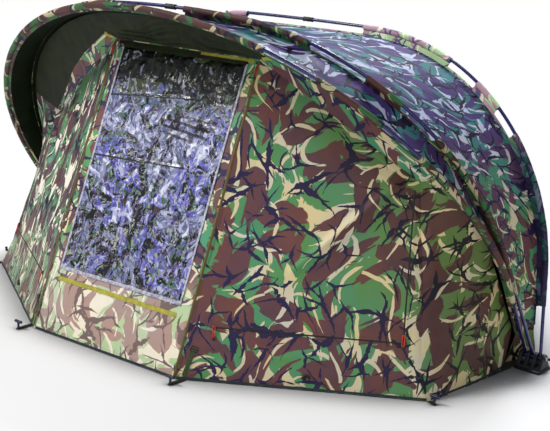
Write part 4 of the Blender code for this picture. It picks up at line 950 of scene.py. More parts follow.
for k in range(5):
    spans = slab_spans(k)
    grids = [(place[:, s], uv[:, s]) for s in spans]
    slab = cloth(f"roof_cloth_{k}", grids, [roof_cloth, lining])
    reach = REACHES[k] * (1 - CANOPY_START / MID.half)
    at = float(MID.knot(np.array(reach)))
    a, b = REAR.sewn(np.array(at), 0.0), MID.sewn(np.array(at), 0.0)
    a[0] = b[0] = 0.0
    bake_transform(slab, "rear_rib", "mid_rib", tuple(a), tuple(b))
    if k == 4:
        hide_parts("roof_canopy")

# tension folds of the rear wall: place along the hem, reach, lean and height
REAR_FOLDS = ((-1.30, 0.75, 0.55, 0.012), (-1.05, 0.60, 0.20, 0.009), (-0.62, 0.45, -0.30, 0.007),
              (-0.20, 0.5, 0.15, 0.006), (0.34, 0.5, -0.12, 0.006), (0.70, 0.50, 0.28, 0.008),
              (1.10, 0.62, -0.22, 0.009), (1.34, 0.78, -0.60, 0.012))

# rear wall, from the rear rib to the ground
REAR_FOOT, REAR_CORNER = np.array((1.470, 0.100, REAR_HEM)), np.array((0.850, 1.200, REAR_HEM))
ways = np.append(REAR.marks, 1 - CANOPY_START / REAR.half) / (1 - CANOPY_START / REAR.half)
turn = ways[np.argmin(np.abs(ways - 0.36))]
line = np.array([REAR_CORNER + (REAR_FOOT - REAR_CORNER) * (w - turn) / (1 - turn) if w > turn
                 else (REAR_CORNER[0] * w / turn, REAR_CORNER[1], REAR_HEM) for w in ways])
ground = np.stack([np.interp(np.abs(knot), np.arange(18) / 17, line[:, k]) for k in range(3)], -1)
ground[:, 0] *= np.where(knot < 0, -1, 1)
place, out = drawn_in(REAR.sewn(knot, REAR_STANDOFF, -SEWN_AHEAD), ground, knot, WALL_SAG, 80)
uv = canopy_uv(place, run, (8.6, 2.4))
place = relief(place, out, uv, run, 51, 0.005)
down = lengths(place, 0)
part = down / down[-1:]
free = np.clip(9 * part * (1 - part), 0, 1)
above = down[-1:] - down
rise = 0.0040 * np.exp(-((0.230 - above) / 0.012) ** 2) + 0.0016 * np.exp(-((0.205 - above) / 0.010) ** 2)
for at in (-0.86, 0.0, 0.86):
    near = np.broadcast_to(run, down.shape) - at * (0.72 + 0.28 * part)
    rise = rise + 0.0030 * np.exp(-(near / 0.013) ** 2)
    rise = rise - 0.0022 * np.exp(-((np.abs(near) - 0.030) / 0.016) ** 2)
for at, reach, lean, height in REAR_FOLDS:
    up = np.clip(above, 0, None)
    near = np.broadcast_to(run, down.shape) - at - lean * up + 0.02 * noise(up / 0.3, up * 0 + at, 57)
    fade = step(up, 0.0, 0.12) * (1 - step(up, reach * 0.5, reach))
    rise = rise + height * np.exp(-(near / 0.030) ** 2) * fade
place = place + out * (rise * free)[..., None]
place[-1] = ground
for k in range(5):
    spans = slab_spans(k)
    grids = [(place[:, s], uv[:, s]) for s in spans]
    slab = cloth(f"rear_cloth_{k}", grids, [wall, lining])
    reach = REACHES[k] * (1 - CANOPY_START / MID.half)
    at = float(MID.knot(np.array(reach)))
    b = REAR.sewn(np.array(at), 0.0)
    a = np.array((0.0, np.hypot(b[1], b[2] - PIVOT[2]), 0.0))
    b[0] = 0.0
    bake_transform(slab, "root", "rear_rib", tuple(a), tuple(b))
    if k == 4:
        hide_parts("rear_wall")


# front wall

def mirrored(grid, side):
    """A grid of the right side, or its mirror image for the left one."""
    place, uv = grid
    return (place, uv) if side > 0 else (place * MIRROR, uv)


def printed(s, t, side):
    """Where a side panel's point lies on the printed cloth; the left one is gathered into upright folds."""
    if side > 0:
        return np.stack((s, t), -1)
    fine = 1 - 0.6 * step(t, 0.35, 0.95)
    return np.stack((s * 1.6 + 0.07 * fine * noise(s / 0.045, t / 0.35, 61) + 7.3,
                     t * 0.85 + 0.05 * fine * noise(s / 0.03, t / 0.2, 62) + 3.9), -1)


WING_FOOT = np.array((1.400, -0.090, HEM))
WING_OUT = unit(np.cross(WING_FOOT - CORNER, SHOULDER - CORNER))
WING_OUT = WING_OUT * np.sign(WING_OUT[0])
CORNER_IN = -unit(SIDE.out + WING_OUT)
CORNER_TURN = math.acos(float(SIDE.out @ WING_OUT))


def seam_along(t):
    """The corner seam's place along the side panel at a height."""
    return CORNER_ALONG + (SHOULDER_AT[0] - CORNER_ALONG) * t / SHOULDER_AT[1]


def rounding(off, t):
    """How far the cloth is drawn in over the corner seam, so that it turns in a curve and not in a crease."""
    reach = np.clip(seam_along(t) - 0.968, 0.004, 0.10) * (0.35 + 0.65 * step(t, 0.02, 0.16))
    reach = reach * (1 - step(t, 0.78, 0.92))
    depth = reach * math.sin(CORNER_TURN / 2) / 2 * np.clip(1 - off / np.maximum(reach, 1e-4), 0, 1) ** 2
    return CORNER_IN * depth[..., None]


def hem_fold(t):
    """The turned-up hem is one cloth thicker than the panel."""
    return 0.0010 * (1 - step(t, 0.0255, 0.0285))


def side_relief(s, t, side):
    """Relief of the side panel and its flap, read in the panel's own axes."""
    seed = 70 if side > 0 else 170
    lift = 0.0040 * noise(s / 0.30, t / 0.24, seed + 1) + 0.0016 * noise(s / 0.10, t / 0.12, seed + 2)
    lift = lift + crumple(s, t, 0.15, 0.0012, seed + 3)
    lift = lift + ridge(s, t, (0.955, 0.975), (0.46, 0.49), 0.019, 0.023, 2.0)
    lift = lift + ridge(s, t, (0.90, 1.02), (0.30, 0.36), 0.10, 0.008, 3.0)
    lift = lift + ripples(s, np.abs(t - FLAP_LOW), 0.030, 0.034, 0.0012, seed + 5)
    # creased cloth beside the door zip
    near = np.exp(-(s / 0.085) ** 2) * step(t, 0.10, 0.30) * (1 - step(t, 0.85, 1.15))
    lift = lift + near * (0.006 * noise(s / 0.030 + t * 2.0, t / 0.22, seed + 6)
                          + crumple(s, t, 0.05, 0.0022, seed + 7))
    # skirt drawn tight between the pegs
    skirt = 1 - step(t, 0.16, 0.26)
    lift = lift + skirt * (0.0045 * noise(s / 0.42, (t - 0.10 * s) / 0.050, seed + 8)
                           + 0.0035 * noise(s / 0.10, t / 0.10, seed + 9))
    if side < 0:
        gathers = 0.008 * noise(s / 0.05, t / 0.5, seed + 10) + 0.004 * noise(s / 0.02, t / 0.3, seed + 11)
        lift = lift + gathers * step(t, 0.1, 0.4)
    return lift + hem_fold(t)


def patch(corners, rows, columns):
    """A four-cornered patch: bottom left, bottom right, top right, top left."""
    a, b, c, d = np.array(corners, float)
    u, v = np.meshgrid(np.linspace(0, 1, columns), np.linspace(0, 1, rows))
    u, v = u[..., None], v[..., None]
    return (a * (1 - u) + b * u) * (1 - v) + (d * (1 - u) + c * u) * v


hem_up = HEM / SIDE.up[2]
OUTER = np.array(((0.0, hem_up), (CORNER_ALONG, hem_up), SHOULDER_AT, (TOP_ALONG, TOP_UP)))
OUTER[0, 0] = TOP_ALONG / TOP_UP * hem_up
OUTER[1, 0] += (SHOULDER_AT[0] - CORNER_ALONG) / SHOULDER_AT[1] * hem_up
EDGE = 0.0004


def faded(rows, columns, ends, sides=0.0):
    """One inside a patch, falling to nothing at its edges."""
    u, v = np.linspace(0, 1, columns)[None], np.linspace(0, 1, rows)[:, None]
    fade = np.clip(np.minimum(v, 1 - v) * ends, 0, 1) if ends else np.ones((rows, 1))
    return fade * (np.clip(np.minimum(u, 1 - u) * sides, 0, 1) if sides else np.ones((1, columns)))


# the header meets the mid rib between the two wall shares, and the wings meet it below them
WALL_SHARE = 0.585
WING_START = 0.160
CROWN_INSET, WALL_INSET = 0.0468, 0.075


def wall_inset(shares):
    """How far inside the mid rib the front wall is sewn."""
    return CROWN_INSET + (WALL_INSET - CROWN_INSET) * np.minimum(np.abs(shares) / WALL_SHARE, 1)


wing_hems = {}
for word, side in (("left", -1), ("right", 1)):
    grids = []
    for k in range(4):
        n = (k + 1) % 4
        rows, columns = ((40, 200), (60, 110), (24, 160), (36, 190))[k]
        at = patch((OUTER[k], OUTER[n], FLAP[n], FLAP[k]), rows, columns)
        s, t = at[..., 0], at[..., 1]
        lift = side_relief(s, t, side) * faded(rows, columns, 9) * np.clip((t - hem_up) * 60, 0, 1)
        place = SIDE.place(s, t, lift) + rounding(seam_along(t) - s, t)
        grids.append(mirrored((place, printed(s, t, side)), side))
    front_cloth = right_wall if side > 0 else left_wall
    panel = cloth(f"side_panel_cloth_{word}", grids, [front_cloth, lining])
    show(panel, "mid_rib", f"side_panel_{word}", slot="wall_cloth")

    eased = np.array(((EDGE, EDGE), (-EDGE, EDGE), (-EDGE, -EDGE), (EDGE, -EDGE)))
    at = patch(FLAP + eased, 170, 170)
    s, t = at[..., 0], at[..., 1]
    u, v = np.linspace(0, 1, 170)[None], np.linspace(0, 1, 170)[:, None]
    lift = side_relief(s, t, side) * faded(170, 170, 14, 14) + 0.006 * 16 * u * (1 - u) * v * (1 - v)
    grid = mirrored((SIDE.place(s, t, lift), printed(s, t, side)), side)
    flap = cloth(f"flap_cloth_{word}", grid, [front_cloth, lining])
    show(flap, word + "_flap", f"flap_{word}", slot="wall_cloth")

    # wing, from the corner seam back to the mid rib
    foot, belly = WING_FOOT, np.array((1.405, -0.350, HEM))
    u, v = np.meshgrid(np.linspace(0, 1, 90), np.linspace(0, 1, 120))
    low = CORNER + (SHOULDER - CORNER) * (HEM / SHOULDER[2])
    left = low + (SHOULDER - low) * v[..., None]
    start_share = 1 - WING_START / MID.half
    climb = np.clip((v * 6 - 1) / 5, 0, 1)
    share_here = start_share + (WALL_SHARE - start_share) * climb
    edge = MID.point(share_here, wall_inset(share_here))
    first = np.clip(v * 6, 0, 1)[..., None]
    right = foot * (1 - first) + edge * first
    bow = (belly - (CORNER + foot) / 2) * np.array((1, 1, 0))
    place = left + (right - left) * u[..., None] + bow * (4 * u * (1 - u) * (1 - v) ** 2)[..., None]
    place[0, :, 2] = HEM
    away = lengths(place, 1)
    seam = OUTER[1] + (np.array(SHOULDER_AT) - OUTER[1]) * v[..., None]
    uv = printed(seam[..., 0] + away, seam[..., 1], side)
    up = seam[..., 1]
    lift = 0.006 * noise(away / 0.2, up / 0.25, 91) + 0.004 * noise(away / 0.06, up / 0.4, 92)
    lift = (lift + ripples(up, away, 0.05, 0.05, 0.002, 93)) * faded(120, 90, 9, 9)
    face_out = normals(place)
    face_out = face_out * np.sign((face_out[..., :1]).mean())
    place = place + face_out * lift[..., None] + rounding(away, seam[..., 1])
    wing = cloth(f"wing_cloth_{word}", mirrored((place, uv), side), [front_cloth, lining])
    show(wing, "mid_rib", f"wing_{word}", slot="wall_cloth")
    wing_hem = place[1], face_out[1]

    # little cloth inside the hub, from the wing's edge to the rear wall's
    top_mid = MID.point(np.array(start_share), CROWN_INSET)
    top_rear = REAR.point(np.array(1 - CANOPY_START / REAR.half), REAR_STANDOFF)
    u, v = np.meshgrid(np.linspace(0, 1, 40), np.linspace(0, 1, 30))
    low_line = WING_FOOT * (1 - u[..., None]) + REAR_FOOT * u[..., None]
    high_line = top_mid * (1 - u[..., None]) + top_rear * u[..., None]
    place = low_line * (1 - v[..., None]) + high_line * v[..., None]
    tuck = 4 * u * (1 - u) * (0.020 + 0.030 * (1 - v)) + 0.003 * noise(u * 4, v * 3, 95) * faded(30, 40, 6, 6)
    place = place - np.array((1.0, 0.0, 0.0)) * tuck[..., None]
    uv = np.stack((u * 0.2 + 2.2, v * 0.19 + 5.1), -1)
    infill = cloth(f"hub_corner_cloth_{word}", mirrored((place, uv), side), [front_cloth, lining])
    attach(infill, "root")
    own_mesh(infill)
    wing_hems[word] = wing_hem

# header, above the door and flaps: dark lining cloth with a camouflage gusset on each side panel's top seam
top_share = WALL_SHARE - 0.020 / MID.half
wall_point = MID.point(np.array(WALL_SHARE), WALL_INSET)
least = 0.001 / MID.half
inner = sorted({m for m in MID.marks} | {-m for m in MID.marks})
between = [m for m in inner if -top_share + least < m < top_share - least]
tops = np.array([-top_share] + between + [top_share])[::-1]
HEADER_FOOT = np.array((wall_point, SHOULDER, DOOR_TOP,
                        DOOR_TOP * MIRROR, SHOULDER * MIRROR, wall_point * MIRROR))
runs = np.insert(np.cumsum(np.linalg.norm(np.diff(HEADER_FOOT, axis=0), axis=1)), 0, 0)
places = [round(r / runs[-1] * (len(tops) - 1)) for r in runs]
places[1] = max(places[1], 1)
places[4] = len(tops) - 1 - places[1]


# long folds of the header: start, end, width and height
HEADER_FOLDS = (((-0.42, 0.08), (0.10, 0.02), 0.016, 0.012), ((-0.40, 0.12), (0.0, 0.10), 0.014, 0.010),
                ((0.0, 0.06), (0.40, 0.02), 0.014, 0.011), ((-0.3, 0.17), (0.25, 0.13), 0.020, 0.009))


def header_grid(first, last, columns, rows, bottom, top):
    """Header cloth between two places of its lower line, from one height to another, each read along it."""
    index = np.linspace(first, last, columns)
    low = np.stack([np.interp(index, places, HEADER_FOOT[:, k]) for k in range(3)], -1)
    shares = np.interp(index, np.arange(len(tops)), tops)
    high = MID.point(shares, wall_inset(shares))
    w = np.linspace(0, 1, columns)
    b, t = np.broadcast_to(bottom(w), w.shape), np.broadcast_to(top(w), w.shape)
    v = b[None] + (t - b)[None] * np.linspace(0, 1, rows)[:, None]
    place = low * (1 - v[..., None]) + high * v[..., None]
    tall = np.linalg.norm(high - low, axis=-1)[None]
    across, up = place[..., 0], v * tall
    free = np.clip(4 * v * (1 - v), 0, 1) ** 0.5
    lift = free * (0.007 * noise(across / 0.10, up / 0.22, 101) + 0.004 * noise(across / 0.045, up / 0.2, 102)
                   + crumple(across, up, 0.07, 0.0025, 103))
    for start, end, width, height in HEADER_FOLDS:
        lift = lift + ridge(across, up, start, end, width, height, 4.0) * step(v, 0.0, 0.06)
    gathers = ripples(across, up, 0.035, 0.030, 0.0030, 104)
    lift = lift + gathers * step(up, 0.0, 0.008) * (np.abs(across) < 0.43)
    lift = lift * np.where(np.abs(across) < 0.47, step(up, 0.004, 0.040), 1)
    n = normals(place)
    if ((place - np.array((0, 0, 0.5))) * n).sum() < 0:
        n = -n
    uv = np.stack((across + 3.3, up + 0.7), -1)
    return place + n * lift[..., None], uv


def level(height):
    """One share of the header's height all along."""
    return lambda w: w * 0 + height


def gusset(w):
    """The left gusset tapers off towards the wall."""
    return np.interp(w, (0, 0.3, 0.5, 0.6, 1.0), (0.28, 0.30, 0.28, 0.23, 0.0))


def hooded_gusset(w):
    """The right one runs up under the hood."""
    return np.interp(1 - w, (0, 0.12, 0.3, 1.0), (0.34, 0.80, 0.92, 0.95))


centre = [header_grid(places[0], places[1], 14, 30, level(0.95), level(1)),
          header_grid(places[1], places[2], 120, 30, hooded_gusset, level(1)),
          header_grid(places[2], places[3], 200, 56, level(0), level(1)),
          header_grid(places[3], places[4], 120, 40, gusset, level(1)),
          header_grid(places[4], places[5], 14, 40, level(0), level(1))]
header = cloth("header_cloth", centre, [hood_lining, lining], inside=(0.0, 0.0, 0.5),
               beside=True)
show(header, "mid_rib", "header_panel", slot="lining")
sides = [header_grid(places[0], places[1], 14, 30, level(0), level(0.95)),
         header_grid(places[1], places[2], 120, 40, level(0), hooded_gusset),
         header_grid(places[3], places[4], 120, 14, level(0), gusset)]
corners = cloth("header_gussets", sides, [wall, lining], inside=(0.0, 0.0, 0.5),
                beside=True)
show(corners, "mid_rib", "header_panel", slot="wall_cloth")

# door cloth round its window opening
door_hem = HEM / DOOR.up[2]
half_top = DOOR_TOP[0]
half_low = DOOR_FOOT[0] + (half_top - DOOR_FOOT[0]) * door_hem / DOOR_HEIGHT
outer = np.array(((-half_low, door_hem), (half_low, door_hem), (half_top, DOOR_HEIGHT), (-half_top, DOOR_HEIGHT)))
HOLE_LOW = 0.330
hole = np.array(((-0.345, HOLE_LOW), (0.345, HOLE_LOW), (0.345, 1.360), (-0.345, 1.360)))


def door_relief(x, t):
    """Creased cloth below the window, long soft folds beside it."""
    low = 1 - step(t, 0.28, 0.36)
    lift = 0.004 * noise(x / 0.10, t / 0.2, 111) + low * (0.007 * noise((x + t * 0.3) / 0.07, t / 0.35, 112)
                                                        + crumple(x, t, 0.09, 0.004, 113))
    return lift + hem_fold(t)


def door_piece(k):
    """One of the four pieces of door cloth round the window opening."""
    n4 = (k + 1) % 4
    rows, columns = (100, 200) if k == 0 else (20, 160)
    at = patch((outer[k], outer[n4], hole[n4], hole[k]), rows, columns)
    x, t = at[..., 0], at[..., 1]
    lift = door_relief(x, t) * faded(rows, columns, 8, 30 if k == 0 else 0)
    return DOOR.place(x, t, lift), np.stack((x + 2.1, t + 6.4), -1)


door_cloth = cloth("door_cloth", [door_piece(k) for k in range(4)], [door_cloth_finish, lining])
show(door_cloth, "door", "door_panel", slot="wall_cloth")
at = patch(hole, 60, 50)
x, t = at[..., 0], at[..., 1]
net_cloth = cloth("door_net_cloth", (DOOR.place(x, t, 0.0), np.stack((x, t), -1)), [net, net],
                  thickness=0.0008)
show(net_cloth, "door", "door_net", slot="net")


COVER_HALF, COVER_LOW, COVER_HIGH = 0.376, 0.307, 1.412
COVER_FOLDS = (((-0.371, 1.161), (0.137, 1.205)), ((-0.331, 0.868), (0.184, 0.891)),
               ((0.10, 0.62), (0.30, 0.98)))


def cover_relief(x, t):
    """Crinkled clear sheet: sharp creases, a few long folds, flat at its sewn edges."""
    edges = [x + COVER_HALF, COVER_HALF - x, t - COVER_LOW, COVER_HIGH - t]
    border = np.clip(np.minimum.reduce(edges) / 0.03, 0, 1)
    lift = 0.003 + 0.004 * noise(x / 0.12, t / 0.1, 121)
    lift = lift + crumple(x, t, 0.09, 0.0050, 122) + crumple(x, t, 0.035, 0.0016, 124)
    for start, end in COVER_FOLDS:
        lift = lift + ridge(x, t, start, end, 0.008, 0.006, 6.0)
    return 0.0022 + border * lift


at = patch(((-COVER_HALF, COVER_LOW), (COVER_HALF, COVER_LOW),
            (COVER_HALF, COVER_HIGH), (-COVER_HALF, COVER_HIGH)), 255, 185)
x, t = at[..., 0], at[..., 1]
cover = cloth("window_sheet", (DOOR.place(x, t, cover_relief(x, t)), np.stack((x, t), -1)), [window, window],
              thickness=0.0008)
show(cover, "door", "window_cover", slot="window")


# tapes, zips and stitches

def ribbon(name, path, out, width, finishes, height=0.0010, dome=0.0, drop=0.0, read=None):
    """A flat woven tape swept along a path; drop folds it over a seam, dome rounds its back."""
    path, out = np.asarray(path, float), np.broadcast_to(out, np.shape(path))
    across = np.linspace(-1, 1, 9)
    fall = -np.abs(across) * width / 2 * drop
    top = np.stack((across * width / 2, height + dome * (1 - across ** 2) + fall), -1)
    bottom = np.stack((across * width / 2, fall), -1)[::-1]
    verts, faces = skin(swept(path, np.concatenate((top, bottom)), up=out))
    uv = read(verts) if read else None
    return outward(build(name, verts, faces, finishes, uv=uv, sharp=60))


def repeat_tree():
    """Lays one small rounded shape along a line, lengthwise or crosswise."""
    tree = bpy.data.node_groups.new("row along a seam", "GeometryNodeTree")
    face = tree.interface
    face.new_socket("Line", in_out="INPUT", socket_type="NodeSocketGeometry")
    for name, kind in (("Pitch", "NodeSocketFloat"), ("Size", "NodeSocketVector"),
                       ("Finish", "NodeSocketMaterial")):
        face.new_socket(name, in_out="INPUT", socket_type=kind)
    face.new_socket("Row", in_out="OUTPUT", socket_type="NodeSocketGeometry")
    g = Graph(tree)
    given = g.add("NodeGroupInput").outputs
    curve = g.add("GeometryNodeMeshToCurve", {"Mesh": given["Line"]}).outputs[0]
    evenly = {"Curve": curve, "Length": given["Pitch"]}
    spaced = g.add("GeometryNodeResampleCurve", evenly, mode="LENGTH").outputs[0]
    out = g.add("GeometryNodeInputNamedAttribute", {"Name": "out"}, data_type="FLOAT_VECTOR").outputs[0]
    way = g.add("GeometryNodeInputTangent").outputs[0]
    upright = g.add("FunctionNodeAlignRotationToVector", {"Vector": out}, axis="Z").outputs[0]
    turned = g.add("FunctionNodeAlignRotationToVector", {"Rotation": upright, "Vector": way},
                   axis="X", pivot_axis="Z").outputs[0]
    bead = g.add("GeometryNodeMeshUVSphere", {"Segments": 6, "Rings": 4, "Radius": 0.5}).outputs["Mesh"]
    placed = g.add("GeometryNodeInstanceOnPoints", {"Points": spaced, "Instance": bead, "Rotation": turned,
                                                    "Scale": given["Size"]}).outputs[0]
    real = g.add("GeometryNodeRealizeInstances", {"Geometry": placed}).outputs[0]
    painted = g.add("GeometryNodeSetMaterial", {"Geometry": real, "Material": given["Finish"]}).outputs[0]
    g.put(painted, g.add("NodeGroupOutput").inputs["Row"])
    return tree


ROW = repeat_tree()


def rows(name, lines, pitch, size, finish):
    """Stitches or zip teeth along lines of (points, outward vectors), as one plain mesh."""
    verts, edges, outs = [], [], []
    for path, out in lines:
        base = len(verts)
        path = np.asarray(path, float)
        verts += path.tolist()
        outs += np.broadcast_to(out, path.shape).tolist()
        edges += [(base + k, base + k + 1) for k in range(len(path) - 1)]
    mesh = bpy.data.meshes.new(name)
    mesh.from_pydata(verts, edges, [])
    layer = mesh.attributes.new("out", "FLOAT_VECTOR", "POINT")
    layer.data.foreach_set("vector", np.array(outs, np.float32).ravel())
    seam = bpy.data.objects.new(name + "_line", mesh)
    bpy.context.scene.collection.objects.link(seam)
    work = seam.modifiers.new("row", "NODES")
    work.node_group = ROW
    for item in ROW.interface.items_tree:
        if item.in_out == "INPUT" and item.name in ("Pitch", "Size", "Finish"):
            work[item.identifier] = {"Pitch": pitch, "Size": size, "Finish": finish}[item.name]
    bpy.context.view_layer.update()
    made = bpy.data.meshes.new_from_object(seam.evaluated_get(bpy.context.evaluated_depsgraph_get()))
    bpy.data.objects.remove(seam)
    for spare in [a.name for a in made.attributes if a.name in ("out", "UVMap")]:
        made.attributes.remove(made.attributes[spare])
    made.shade_smooth()
    piece = bpy.data.objects.new(name, made)
    bpy.context.scene.collection.objects.link(piece)
    return piece


def skirt_share(t):
    """How much of the side panel's relief is left below the flap, near the ground edge."""
    return np.clip((t - hem_up) / (FLAP_LOW - hem_up) * 9, 0, 1)


def straight(start, end, count):
    """Even steps on a straight line."""
    return start + (end - start) * np.linspace(0, 1, count)[:, None]


def on_side(s, t, lift, side):
    """Points on the right or left side panel."""
    place = SIDE.place(s, t, lift)
    return place if side > 0 else place * MIRROR


def hand(v, side):
    """A point or direction of the right side, mirrored for the left."""
    return np.asarray(v) * (1 if side > 0 else MIRROR)


SEAM_OUT = unit(DOOR.out + SIDE.out)
SEAM_WAY = unit(DOOR_TOP - DOOR_FOOT)
SEAM_OUT = unit(SEAM_OUT - SEAM_WAY * (SEAM_OUT @ SEAM_WAY))
FOLD = math.acos(float(DOOR.out @ SIDE.out)) / 2
SEAM_BASE = (CLOTH / 2 + 0.0003) / math.cos(FOLD)
SEAM_LONG = float(np.linalg.norm(DOOR_TOP - DOOR_FOOT))
FLAT_BASE = CLOTH / 2 + 0.0003


def slider(name, body, node, centre, way, out, down, finish, side):
    """A zip slider with its bridge, and a stiff looped pull that hangs from it."""
    across = np.cross(way, out)

    def at(a, c, o):
        """A point of the slider: along the zip, across it and out."""
        return hand(centre + way * a + across * c + out * o, side)

    outline = np.array(((-8, -3.1), (-4, -4.6), (0, -5.5), (5, -5.2), (8, -4.2), (8.6, 0), (8, 4.2), (5, 5.2),
                        (0, 5.5), (-4, 4.6), (-8, 3.1), (-8.6, 0))) / 1000
    levels = ((0.90, 0.0), (1.0, 0.0007), (1.0, 0.0026), (0.86, 0.0034))
    shell = np.array([[at(a * w, c * w, h) for a, c in outline] for w, h in levels])
    turn = np.linspace(0, math.pi, 13)
    arch = np.stack((0.0055 * np.cos(turn), 0.0024 * np.sin(turn) + 0.0022), -1)
    hoop_path = np.array([at(a, 0.0, o) for a, o in arch])
    bridge = swept(hoop_path, circle(0.0011, 8), up=np.tile(hand(across, side), (13, 1)))
    box = outward(build(name + "_body", *join([skin(shell), skin(bridge)]), [slider_metal], sharp=35))
    show(box, body, node, slot="zip")
    down = unit(down)
    cross = np.cross(down, out)
    t = np.linspace(0, 2 * math.pi, 41)[:-1]
    x, y = 0.0050 * np.cos(t), 0.0050 * np.sin(t) + np.where(np.sin(t) > 0, 0.040, 0.0)
    pinch = 1 - 0.35 * np.exp(-((y - 0.014) / 0.008) ** 2)

    def hung(a, b):
        """A point of the pull, which leans in towards the cloth further down."""
        return hand(centre + cross * a + down * b + out * (0.0052 - 0.05 * max(b, 0)), side)

    loop = np.array([hung(a, b) for a, b in zip(x * pinch, y)])
    loop = np.concatenate((loop, loop[:1]))
    ring = swept(loop, circle(0.0021, 8), up=np.tile(hand(out, side), (41, 1)))
    verts = ring[:-1].reshape(-1, 3)
    faces = [(i * 8 + j, i * 8 + (j + 1) % 8, (i + 1) % 40 * 8 + (j + 1) % 8, (i + 1) % 40 * 8 + j)
             for i in range(40) for j in range(8)]
    w = np.linspace(0, 1, 9)
    grip_path = np.array([hung(0.0, 0.039 + 0.018 * k) for k in w])
    swell = 0.0040 + 0.0024 * np.sin(math.pi * w)
    section = circle(1.0, 12)[None] * np.stack((swell, 0.0018 + 0.0004 * np.sin(math.pi * w)), -1)[:, None]
    grip = swept(grip_path, section, up=np.tile(hand(out, side), (9, 1)))
    pull = outward(build(name + "_pull", verts, faces, [finish], sharp=50))
    show(pull, body, node, slot="pull")
    tip = outward(build(name + "_tip", *skin(grip), [moulding], sharp=50))
    show(tip, body, node, slot="pull")


